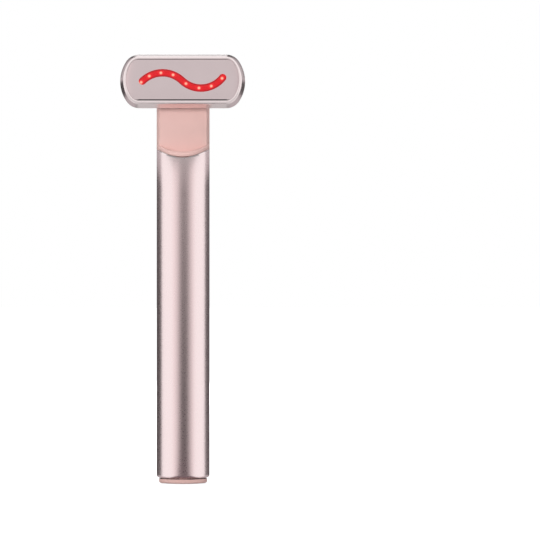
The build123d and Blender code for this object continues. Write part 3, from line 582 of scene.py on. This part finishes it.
def make_plate():
    """Satin face plate with a polished bevel round the wave's opening."""
    bm = bmesh.new()
    edge = 0.06
    outer = [(edge, PLATE_FRONT_Y), (edge / 3, PLATE_FRONT_Y + edge / 3), (0, PLATE_FRONT_Y + edge),
             (0, PLATE_BACK_Y)]
    outer_loops = skin(bm, [facing(plate_loop(inset), y, FACE_LIFT) for inset, y in outer])
    half = WAVE_WIDTH / 2
    inner = [(half + WAVE_LIP, PLATE_FRONT_Y), (half + 0.02, PLATE_FRONT_Y + WAVE_LIP), (half, PLATE_BACK_Y)]
    inner_rows = [facing(wave_loop(reach), y, WAVE_LIFT) for reach, y in inner]
    inner_loops = skin(bm, inner_rows, accents={0})
    fill(bm, outer_loops[0], inner_loops[0])
    fill(bm, outer_loops[-1], inner_loops[-1])
    add_piece("treatment_plate", bm, [plate_satin, rose_polished], "head", "face_plate")


def make_gasket():
    """Dark bead in the groove between the rim and the plate, gripped by both."""
    bm = bmesh.new()
    grip = 0.04
    front = PLATE_FRONT_Y + GROOVE_DEPTH
    back = PLATE_BACK_Y - 0.02
    outer = head_loop(RIM_WIDTH - grip)
    inner = plate_loop(grip)
    places = ((outer, back), (outer, front), (inner, front), (inner, back))
    skin(bm, [facing(loop, y, FACE_LIFT) for loop, y in places], wrap=True)
    add_piece("groove_gasket", bm, [dark_rubber], "head", "plate_gasket")


# ---- light window -------------------------------------------------------------------------
def window_material():
    """Red diffuser lit from behind by a row of lights; u is millimetres along it, v runs across."""
    t = material_tree("window_red")
    place = t.split(t.node("UVMap").outputs["UV"])
    across = t.maths("MULTIPLY", place["Y"], WAVE_WIDTH / 2)
    near = 9.0             # millimetres to the nearest light, and never more than this
    for share in LIGHT_SHARES:
        along = t.maths("SUBTRACT", place["X"], share * WAVE_RUN)
        gap = t.maths("SQRT", t.maths("ADD", t.maths("POWER", along, 2.0), t.maths("POWER", across, 2.0)))
        near = t.maths("MINIMUM", gap, near)
    core = t.spread(near, 1.0, 0.0, 0.10, 0.66)
    halo = t.spread(near, 1.0, 0.0, 0.3, 1.3)
    edge = t.spread(t.maths("ABSOLUTE", place["Y"]), 0.0, 1.0, 0.60, 0.98)
    mottle = t.spread(t.noise(0.8, seed=5.0), 0.9, 1.06)
    red = t.blend(halo, (0.66, 0.003, 0.008, 1.0), (0.86, 0.020, 0.024, 1.0))
    red = t.blend(t.maths("MULTIPLY", edge, 0.8), red, (0.33, 0.010, 0.014, 1.0))
    lit = t.blend(t.maths("POWER", core, 1.2), red, (1.1, 0.66, 0.46, 1.0))
    return t.surface(Base_Color=(0.10, 0.003, 0.004, 1.0), Roughness=0.22, Specular_IOR_Level=0.3,
                     Emission_Color=lit, Emission_Strength=mottle)


WINDOW_SAMPLES = 400       # steps along the wave in which a point's place on it is looked up


def make_window():
    """Wave-shaped diffuser with a soft front edge and a flange behind the plate."""
    bm = bmesh.new()
    layer = bm.loops.layers.uv.new("UVMap")
    half = WAVE_WIDTH / 2 - 0.05
    front = PLATE_FRONT_Y + 0.03
    flange_half = 2.2
    flange_back = PLATE_BACK_Y + 0.7
    profile = [(half * 0.25, front), (half * 0.55, front + 0.01), (half * 0.8, front + 0.03),
               (half * 0.95, front + 0.07), (half, front + 0.14), (half, PLATE_BACK_Y),
               (flange_half, PLATE_BACK_Y), (flange_half, flange_back)]
    loops = skin(bm, [facing(wave_loop(reach), y, WAVE_LIFT) for reach, y in profile])
    fill(bm, loops[0])
    fill(bm, loops[-1])
    runs = [WAVE_RUN * step / WINDOW_SAMPLES for step in range(WINDOW_SAMPLES + 1)]
    samples = [(along, wave_at(along)) for along in runs]
    for vert in bm.verts:
        flat = Vector((vert.co.x, vert.co.z - PIVOT_Z - WAVE_LIFT))
        along, (centre, way) = min(samples, key=lambda sample: (sample[1][0] - flat).length)
        offset = flat - centre
        place = (along + offset.dot(way), offset.dot(Vector((-way.y, way.x))) / half)
        for loop in vert.link_loops:
            loop[layer].uv = place
    add_piece("glowing_window", bm, [window_material()], "head", "light_window")


# ---- handle tube --------------------------------------------------------------------------
TUBE_SEGMENTS = 256


def mouth_height(x):
    """Height of the saddle-shaped mouth at a sideways place."""
    return MOUTH_Z + MOUTH_ARC - math.sqrt(MOUTH_ARC**2 - x**2)


def ring(radius, z):
    """Round loop of points about the wand's axis."""
    return [(radius * math.cos(turn), radius * math.sin(turn), z) for turn in turns(TUBE_SEGMENTS)]


def mouth_ring(radius, under):
    """The same at a distance under the mouth's saddle."""
    return [(x, y, mouth_height(x) - under) for x, y, _ in ring(radius, 0)]


def make_tube():
    """Satin tube with a bright chamfer at its mouth, a rounded foot and a bright line round that."""
    bm = bmesh.new()
    chamfer = 0.5
    foot_height = 1.0      # the foot's rounding, half as wide as it is high
    foot_inset = 0.5
    foot_steps = 12
    round_start = 0.16     # from the foot's end to its rounding
    middle_heights = (20.0, 45.0, 70.0)
    saddle_reach = 12.0    # under the mouth, down to where the rings of points turn level
    inner_edge = 0.1
    inner = TUBE_RADIUS - TUBE_WALL
    foot_radius = TUBE_RADIUS - foot_inset
    rows = [ring(inner, TUBE_FOOT_Z + inner_edge), ring(inner + inner_edge, TUBE_FOOT_Z),
            ring(foot_radius - 0.22, TUBE_FOOT_Z), ring(foot_radius - 0.06, TUBE_FOOT_Z + 0.13)]
    bright = {len(rows)}
    for step in range(foot_steps + 1):
        turn = math.pi / 2 * step / foot_steps
        up = round_start + (foot_height - round_start) * (1 - math.cos(turn))
        rows.append(ring(TUBE_RADIUS - foot_inset * (1 - math.sin(turn)), TUBE_FOOT_Z + up))
    rows += [ring(TUBE_RADIUS, height) for height in middle_heights]
    rows += [mouth_ring(TUBE_RADIUS, saddle_reach), mouth_ring(TUBE_RADIUS, chamfer + 0.06)]
    bright.add(len(rows))
    rows += [
        mouth_ring(TUBE_RADIUS - 0.02, chamfer),
        mouth_ring(TUBE_RADIUS - 0.24, 0.03),
        mouth_ring(TUBE_RADIUS - 0.29, 0),
        mouth_ring(inner + inner_edge, 0),
        mouth_ring(inner, inner_edge),
    ]
    skin(bm, rows, wrap=True, accents=bright)
    add_piece("tube_shell", bm, [rose_satin, rose_polished], "handle", "handle_tube")


# ---- neck ---------------------------------------------------------------------------------
ARCH_STEPS = 40
UPRIGHT_STEPS = 8
FACET_STEPS = 6
SLOT_STEPS = 48


def neck_profile(inset):
    """Half section of the neck: front flat, side facet, round side, back flat, as (half width, y)."""
    radius = TUBE_RADIUS - inset
    flat_y = NECK_FRONT_Y + inset
    edge_x = NECK_FLAT_HALF - WALL_SHARE_AT_EDGE * inset
    crisp = 0.07           # rounding of the flat's edge
    points = [(edge_x - crisp, flat_y), (edge_x - crisp * 0.3, flat_y + crisp * 0.25),
              (edge_x + crisp * 0.15, flat_y + crisp)]
    for step in range(1, FACET_STEPS + 1):
        share = step / FACET_STEPS
        bulge = 0.16 * math.sin(math.pi * share)
        x = edge_x + (radius - edge_x) * share + bulge * 0.9
        points.append((x, flat_y - flat_y * share - bulge * 0.3))
    back_y = NECK_BACK_Y - inset - NECK_BACK_EDGE
    back_x = half_chord(radius - NECK_BACK_EDGE, back_y)
    back_angle = math.degrees(math.atan2(back_y, back_x))
    points += arc((0, 0), radius, 0, back_angle, 16)[1:-1]
    return points + arc((back_x, back_y), NECK_BACK_EDGE, back_angle, 90, 12)


def half_chord(radius, y):
    """Half width of a circle at a depth."""
    return math.sqrt(radius**2 - y**2)


def neck_rows(way):
    """Outside and inside rows of the neck's half in front of its seam (way -1) or behind it (way 1).

    A row is an inset, a half width and a y, and the rows go from the half's flat to the seam.
    """
    seam_y = NECK_SPLIT_Y + (COVER_GAP if way > 0 else 0)
    bevel_y = NECK_SPLIT_Y + way * NECK_SEAM
    outside, inside = (
        [(inset, x, y) for x, y in neck_profile(inset)[::-way] if way * (y - NECK_SPLIT_Y) > NEAR_SEAM]
        for inset in (0, NECK_WALL)
    )
    outside += [(0, half_chord(TUBE_RADIUS, bevel_y), bevel_y),
                (NECK_SEAM, half_chord(TUBE_RADIUS, NECK_SPLIT_Y) - NECK_SEAM, seam_y)]
    inside = inside[:len(outside) - 1]
    rim = (NECK_WALL, half_chord(TUBE_RADIUS - NECK_WALL, NECK_SPLIT_Y), seam_y)
    return outside, inside + [rim] * (len(outside) - len(inside))


def arch_radius(inset, y):
    """Radius of the neck's round top at a depth, less near its rounded front and back edges."""
    radius = TUBE_RADIUS - inset
    edges = ((ARCH_FRONT_EDGE, y - NECK_FRONT_Y - inset), (NECK_BACK_EDGE, NECK_BACK_Y - inset - y))
    for edge, depth in edges:
        if depth < edge:
            radius -= edge - math.sqrt(max(0.0, edge**2 - (edge - depth) ** 2))
    return radius


def soft_min(first, second, blend):
    """The smaller value, with a soft change from one to the other."""
    if blend <= 0 or abs(first - second) >= blend:
        return min(first, second)
    share = (blend - abs(first - second)) / blend
    return min(first, second) - share**2 * blend / 4


def neck_line(inset, width, y):
    """Line up one side of the neck, over its round top and down the other side."""
    half = []
    for step in range(UPRIGHT_STEPS):
        half.append((width, NECK_FOOT_Z + (PIVOT_Z - NECK_FOOT_Z) * step / UPRIGHT_STEPS))
    top = arch_radius(inset, y)
    for step in range(ARCH_STEPS + 1):
        lean = math.pi / 2 * (1 - step / ARCH_STEPS)
        side = width / max(math.sin(lean), 1e-6)
        reach = soft_min(top, side, 0.9 * math.cos(lean))
        half.append((reach * math.sin(lean), PIVOT_Z + reach * math.cos(lean)))
    points = half + [(-x, z) for x, z in reversed(half[:-1])]
    return [(x, y, z) for x, z in points]


def strip(bm, rows):
    """Quads between open rows of points."""
    lines = [[bm.verts.new(point) for point in row] for row in rows]
    for lower, upper in zip(lines, lines[1:]):
        for index in range(len(lower) - 1):
            bm.faces.new((lower[index], lower[index + 1], upper[index + 1], upper[index]))
    return lines


def bridge(bm, first, second, closed=False):
    """Quads between two lines of vertices that are already there."""
    count = len(first) if closed else len(first) - 1
    for index in range(count):
        after = (index + 1) % len(first)
        bm.faces.new((first[index], first[after], second[after], second[index]))


def ring_y(radius, y, z, steps):
    """Round loop of points square to Y."""
    return [(radius * math.cos(turn), y, z + radius * math.sin(turn)) for turn in turns(steps)]


def slot_y(y):
    """Arc slot of the stop pin, as a loop of points square to Y."""
    left, right = 90 + STOP_SLOT_REACH, 90 - STOP_SLOT_REACH
    outer = arc((0, PIVOT_Z), STOP_CIRCLE + STOP_SLOT_HALF, left, right, SLOT_STEPS)
    inner = arc((0, PIVOT_Z), STOP_CIRCLE - STOP_SLOT_HALF, right, left, SLOT_STEPS)
    return [(x, y, z) for x, z in outer + inner]


def neck_half(bm, way, holes):
    """Closed hollow half of the neck: both skins, their open edges and the flat's holes.

    A hole is two loops of points, in the flat's outside and in its inside.
    """
    holes = [[[bm.verts.new(point) for point in loop] for loop in hole] for hole in holes]
    outer, inner = (strip(bm, [neck_line(*row) for row in rows]) for rows in neck_rows(way))
    bridge(bm, outer[-1], inner[-1])
    for end in (0, -1):
        bridge(bm, [row[end] for row in outer], [row[end] for row in inner])
    bm.faces.new((outer[0][0], outer[0][-1], inner[0][-1], inner[0][0]))
    fill(bm, outer[0], *[hole[0] for hole in holes])
    fill(bm, inner[0], *[hole[1] for hole in holes])
    for hole in holes:
        bridge(bm, hole[0], hole[1], closed=True)


HOLE_STEPS = 64


def make_neck_shell():
    """Front half of the neck with the swivel's bore and the stop pin's slot, and the lip below it."""
    bm = bmesh.new()
    depths = (NECK_FRONT_Y, NECK_FRONT_Y + NECK_WALL)
    bore = [ring_y(POST_BORE, y, PIVOT_Z, HOLE_STEPS) for y in depths]
    neck_half(bm, -1, [bore, [slot_y(y) for y in depths]])
    add_lip(bm)
    add_piece("neck_shell", bm, [pink_plastic], "handle", "neck_housing")


def flat_fronted_ring(radius, front, under):
    """Loop under the mouth that is round behind and straight along the neck's front wall."""
    points = []
    for turn in turns(TUBE_SEGMENTS):
        ahead = -math.sin(turn)
        reach = min(radius, front / ahead) if ahead > 1e-6 else radius
        x = reach * math.cos(turn)
        points.append((x, -reach * ahead, mouth_height(x) - under))
    return points


def add_lip(bm):
    """Lip between the tube and the neck's upright, with its plug in the tube."""
    bore = PLUG_RADIUS - 1.25
    plug_depth = 10.0
    front_wall = -NECK_FRONT_Y - NECK_WALL / 2
    shelf_height = 0.9     # from the mouth up to the underside of the lip's inner part
    profile = [
        (bore, -shelf_height),
        (bore, plug_depth),
        (PLUG_RADIUS - 0.15, plug_depth),
        (PLUG_RADIUS, plug_depth - 0.2),
        (PLUG_RADIUS, -MOUTH_GAP),
        (TUBE_RADIUS - 0.12, -MOUTH_GAP),
        (TUBE_RADIUS - 0.03, -MOUTH_GAP - 0.03),
        (TUBE_RADIUS, -MOUTH_GAP - 0.12),
    ]
    for across, up in arc((0, 0), 1.0, 0, 90, 10):
        profile.append((TUBE_RADIUS - LIP_EDGE_IN * (1 - across), LIP_EDGE_DOWN * (1 - up) - LIP_TOP))
    rows = [mouth_ring(radius, under) for radius, under in profile]
    rows += [flat_fronted_ring(bore, front_wall, -height) for height in (LIP_TOP, shelf_height)]
    skin(bm, rows, wrap=True)


def make_neck_cover():
    """Back half of the neck with the button's and the status light's openings."""
    bm = bmesh.new()
    depths = (NECK_BACK_Y, NECK_BACK_Y - NECK_WALL)
    openings = ((BUTTON_RADIUS + 0.08, BUTTON_Z), (PIPE_RADIUS + 0.05, PIPE_Z))
    neck_half(bm, 1, [[ring_y(radius, y, z, HOLE_STEPS) for y in depths] for radius, z in openings])
    add_piece("neck_cover", bm, [pink_plastic], "handle", "neck_rear_cover")


# ---- button, status light and end cap -----------------------------------------------------
def turned_y(bm, profile, z, steps):
    """Solid turned round an axis along Y, from (radius, y) points; its ends are closed."""
    loops = skin(bm, [ring_y(radius, y, z, steps) for radius, y in profile])
    bm.faces.new(loops[0])
    bm.faces.new(loops[-1])


def make_button():
    """Power button: a slightly dished cap on its flange and stem."""
    bm = bmesh.new()
    stem = 1.1
    flange = 4.7
    flange_back = NECK_BACK_Y - NECK_WALL - 0.05
    flange_front = flange_back - 0.7
    edge = 0.26
    edge_y = BUTTON_BACK_Y - edge
    dish = 0.14
    dish_radius = BUTTON_RADIUS - edge - 0.2
    dish_steps = 9
    profile = [(stem, button_low.y), (stem, flange_front), (flange, flange_front), (flange, flange_back),
               (BUTTON_RADIUS, flange_back), (BUTTON_RADIUS, edge_y)]
    profile += [(BUTTON_RADIUS - edge + x, edge_y + y) for x, y in arc((0, 0), edge, 0, 90, 6)[1:]]
    for step in range(1, dish_steps):
        share = 1 - step / dish_steps
        profile.append((dish_radius * share, BUTTON_BACK_Y - dish * (1 - share**2)))
    turned_y(bm, profile, BUTTON_Z, steps=72)
    add_piece("dished_button", bm, [pink_plastic], "power_button", "power_button")


def make_light_pipe():
    """Status light: a clear pipe with a flange inside the neck and a domed end."""
    bm = bmesh.new()
    cavity = NECK_BACK_Y - NECK_WALL
    flange = 0.4
    dome = 0.2
    dome_y = pipe_high.y - dome
    dome_steps = 7
    profile = [(PIPE_RADIUS, pipe_low.y), (PIPE_RADIUS, cavity - flange),
               (PIPE_RADIUS + flange, cavity - flange), (PIPE_RADIUS + flange, cavity),
               (PIPE_RADIUS, cavity), (PIPE_RADIUS, dome_y)]
    for step in range(1, dome_steps):
        turn = math.pi / 2 * step / dome_steps
        profile.append((PIPE_RADIUS * math.cos(turn), dome_y + dome * math.sin(turn)))
    turned_y(bm, profile, PIPE_Z, steps=40)
    add_piece("status_pipe", bm, [clear_plastic], "handle", "status_light_pipe")


def slot_ring(half_width, half_height, z):
    """Stadium-shaped loop square to Z, its points matched to a round loop's."""
    points = []
    straight = half_width - half_height
    for turn in turns(TUBE_SEGMENTS):
        x, y = math.cos(turn), math.sin(turn)
        centre = straight if x >= 0 else -straight
        side = half_height / abs(y) if abs(y) > 1e-9 else FAR_AWAY
        if abs(x * side) <= straight:
            points.append((x * side, y * side, z))
            continue
        along = x * centre
        reach = along + math.sqrt(along**2 - centre**2 + half_height**2)
        points.append((x * reach, y * reach, z))
    return points


def make_end_cap():
    """End cap: a flange with a soft edge, the charging port through it and its plug in the tube; the faces
    of the gap under the tube's foot wear dark rubber, a painted shade.
    """
    bm = bmesh.new()
    top = TUBE_FOOT_Z
    radius = TUBE_RADIUS - 0.8
    edge = 0.6
    gap_z = top - 0.34     # lower side of the gap between the cap and the tube's foot, darkened with painted shade
    gap_radius = radius - 0.55
    bore = PLUG_RADIUS - 1.85
    port = ((0, top), (0, 0.25), (0.08, 0.08), (0.25, 0))    # how much wider the port is, and where
    rows = [slot_ring(PORT_HALF_WIDTH + wider, PORT_HALF_HEIGHT + wider, z) for wider, z in port]
    rows += [ring(radius - edge + x, edge - z) for x, z in reversed(arc((0, 0), edge, 0, 90, 8))]
    # painted shade: the gap's three steps under the tube's foot wear dark rubber instead of the cap's pink
    painted_shade_row = len(rows) + 1
    profile = [(radius, gap_z - 0.08), (radius - 0.06, gap_z), (gap_radius, gap_z), (gap_radius, top),
               (PLUG_RADIUS, top), (PLUG_RADIUS, cap_high.z), (bore, cap_high.z), (bore, top)]
    rows += [ring(reach, z) for reach, z in profile]
    skin(bm, rows, wrap=True, accents=range(painted_shade_row, painted_shade_row + 3))
    add_piece("port_cap", bm, [pink_plastic, dark_rubber], "handle", "end_cap")


# ---- stage --------------------------------------------------------------------------------
def seen_rays(t):
    """1 for rays of the camera, of reflections and of clear plastic, otherwise 0."""
    rays = t.node("LightPath").outputs
    seen = t.maths("MAXIMUM", rays["Is Camera Ray"], rays["Is Glossy Ray"])
    return t.maths("MAXIMUM", seen, rays["Is Transmission Ray"])


def make_floor():
    """White ground with a faint shade near the wand's foot; reflections don't see it."""
    t = material_tree("floor_white")
    reach = t.node("VectorMath", operation="LENGTH")
    t.join(t.place, reach.inputs[0])
    near = t.spread(reach.outputs["Value"], FLOOR_NEAR_GLOW, 1.0, 0.012, 0.06)
    diffuse = t.node("BsdfDiffuse")
    diffuse.inputs["Color"].default_value = (0.5, 0.5, 0.5, 1.0)
    both = t.node("AddShader")
    t.join(diffuse.outputs["BSDF"], both.inputs[0])
    t.join(t.glow(t.maths("MULTIPLY", seen_rays(t), near)), both.inputs[1])
    mesh = bpy.data.meshes.new("floor")
    bm = bmesh.new()
    bmesh.ops.create_circle(bm, cap_ends=True, radius=FLOOR_RADIUS, segments=96)
    bm.to_mesh(mesh)
    bm.free()
    mesh.materials.append(t.show(both.outputs["Shader"]))
    floor = bpy.data.objects.new("floor", mesh)
    floor.location = (0, 0, -FLOOR_DROP)
    bpy.context.scene.collection.objects.link(floor)
    floor.visible_glossy = False


def add_card(name, points, material):
    """Flag that only reflections see."""
    mesh = bpy.data.meshes.new(name)
    mesh.from_pydata(points, [], [tuple(range(len(points)))])
    mesh.materials.append(material)
    card = bpy.data.objects.new(name, mesh)
    bpy.context.scene.collection.objects.link(card)
    card.visible_camera = False
    card.visible_diffuse = False
    card.visible_shadow = False
    card.visible_transmission = False


def upright(start, end, low, high):
    """Corners of an upright rectangle between two places and two heights."""
    return [(*start, low), (*end, low), (*end, high), (*start, high)]


def curve_of(t, value, places, levels):
    """Piecewise straight curve through (place, level) pairs, level 0..1."""
    ramp = t.node("ValToRGB")
    low, high = places[0], places[-1]
    t.join(t.spread(value, 0.0, 1.0, low, high), ramp.inputs["Fac"])
    stops = ramp.color_ramp.elements
    for place, level in zip(places, levels):
        if place == low:
            stop = stops[0]
        elif place == high:
            stop = stops[-1]
        else:
            stop = stops.new((place - low) / (high - low))
        stop.color = (level, level, level, 1.0)
    return ramp.outputs["Color"]


def make_front_card():
    """Flag in front of the wand: dark in its middle, as bright as the room at both ends."""
    t = material_tree("front_card")
    place = t.split(t.place)
    wide = curve_of(t, place["X"], CARD_X, CARD_FADE)
    dark = curve_of(t, place["Z"], CARD_Z, CARD_DARK)
    level = t.maths("SUBTRACT", 1.0, t.maths("MULTIPLY", wide, dark))
    points = upright((CARD_X[0], -CARD_DISTANCE), (CARD_X[-1], -CARD_DISTANCE), CARD_Z[0], CARD_Z[-1])
    add_card("front_card", points, t.show(t.glow(level, (1.0, 0.93, 0.93, 1.0))))


def make_foot_card():
    """Small dark flag just under the ground, which widens forwards from the foot."""
    t = material_tree("foot_card")
    near_y, far_y, z = 0.004, -0.09, -0.003
    points = [(-0.0035, near_y, z), (0.0045, near_y, z), (0.040, far_y, z), (-0.032, far_y, z)]
    add_card("foot_card", points, t.show(t.glow(colour=(0.16, 0.12, 0.13, 1.0))))


def make_rear_card(name, azimuths, low_level):
    """Dark flag behind the wand; beside the middle it is lighter above and below the wand."""
    t = material_tree(name)
    place = t.split(t.place)
    band = curve_of(t, place["Z"], REAR_Z, REAR_BAND)
    level = t.spread(place["Y"], REAR_HIGH, low_level, 0.80, 0.95)
    lifted = t.maths("MULTIPLY", band, t.maths("SUBTRACT", level, low_level))
    start, end = [(math.sin(math.radians(angle)), -math.cos(math.radians(angle))) for angle in azimuths]
    glow = t.glow(t.maths("ADD", lifted, low_level), (1.0, 0.93, 0.95, 1.0))
    add_card(name, upright(start, end, REAR_Z[0], REAR_Z[-1]), t.show(glow))


def make_head_cards():
    """Light grey flags close in front of the head and under its lower rim."""
    half, y, low = HEAD_CARD_HALF, HEAD_CARD_Y, HEAD_CARD_LOW
    t = material_tree("head_card")
    points = upright((-half, y), (half, y), low, HEAD_CARD_HIGH)
    add_card("head_card", points, t.show(t.glow(colour=HEAD_CARD)))
    t = material_tree("head_shelf")
    from_below = t.node("NewGeometry").outputs["Backfacing"]
    level = t.spread(from_below, HEAD_SHELF, SHELF_UNDERSIDE, 0.0, 1.0)
    points = [(-half, y, low), (half, y, low), (half, SHELF_NEAR_Y, low), (-half, SHELF_NEAR_Y, low)]
    add_card("head_shelf", points, t.show(t.glow(level)))


def make_lamp(name, place, faced_height, size, power):
    """Area lamp that no reflection shows."""
    data = bpy.data.lights.new(name, "AREA")
    data.shape = "RECTANGLE"
    data.size, data.size_y = size
    data.energy = power
    lamp = bpy.data.objects.new(name, data)
    lamp.location = place
    way = Vector((0, 0, faced_height)) - Vector(place)
    lamp.rotation_euler = way.to_track_quat("-Z", "Y").to_euler()
    lamp.visible_glossy = False
    bpy.context.scene.collection.objects.link(lamp)


def make_world():
    """White room that lights less than it shows; reflections looking down meet a greyer ground."""
    t = Tree(bpy.data.worlds.new("studio"), "OutputWorld", "Generated")
    way = t.split(t.place)
    ground = t.spread(t.maths("ABSOLUTE", way["X"]), GROUND_SEEN, GROUND_SEEN_ASIDE, 0.25, 0.6)
    reflected = t.spread(way["Z"], ground, 1.0, -0.42, -0.30)
    glossy = t.node("LightPath").outputs["Is Glossy Ray"]
    mix = t.node("MixShader")
    t.join(seen_rays(t), mix.inputs[0])
    for index, strength in ((1, WORLD_LIT), (2, t.blend(glossy, 1.0, reflected, "FLOAT"))):
        room = t.node("Background")
        t.put(room.inputs["Color"], WHITE)
        t.put(room.inputs["Strength"], strength)
        t.join(room.outputs["Background"], mix.inputs[index])
    bpy.context.scene.world = t.show(mix.outputs["Shader"])


def make_camera():
    """Long lens in front of the wand, level with its middle."""
    data = bpy.data.cameras.new("camera")
    data.lens = CAMERA_LENS
    data.sensor_width = CAMERA_SENSOR
    camera = bpy.data.objects.new("camera", data)
    camera.location = CAMERA_PLACE
    camera.rotation_euler = (math.pi / 2, 0, 0)
    bpy.context.scene.collection.objects.link(camera)
    bpy.context.scene.camera = camera


def light_stage():
    """Room, ground, flags and lamps."""
    make_world()
    make_floor()
    make_front_card()
    make_foot_card()
    make_rear_card("rear_card_right", REAR_RIGHT, REAR_LOW_RIGHT)
    make_rear_card("rear_card_left", REAR_LEFT, REAR_LOW_LEFT)
    make_head_cards()
    for name, settings in LAMPS.items():
        make_lamp(name, *settings)


# ---- scene --------------------------------------------------------------------------------
bpy.context.scene.view_settings.view_transform = "Standard"
make_camera()
light_stage()
dress_nodes()
make_tube()
make_bezel()
make_rear_shell()
make_plate()
make_gasket()
make_window()
make_neck_shell()
make_neck_cover()
make_button()
make_light_pipe()
make_end_cap()
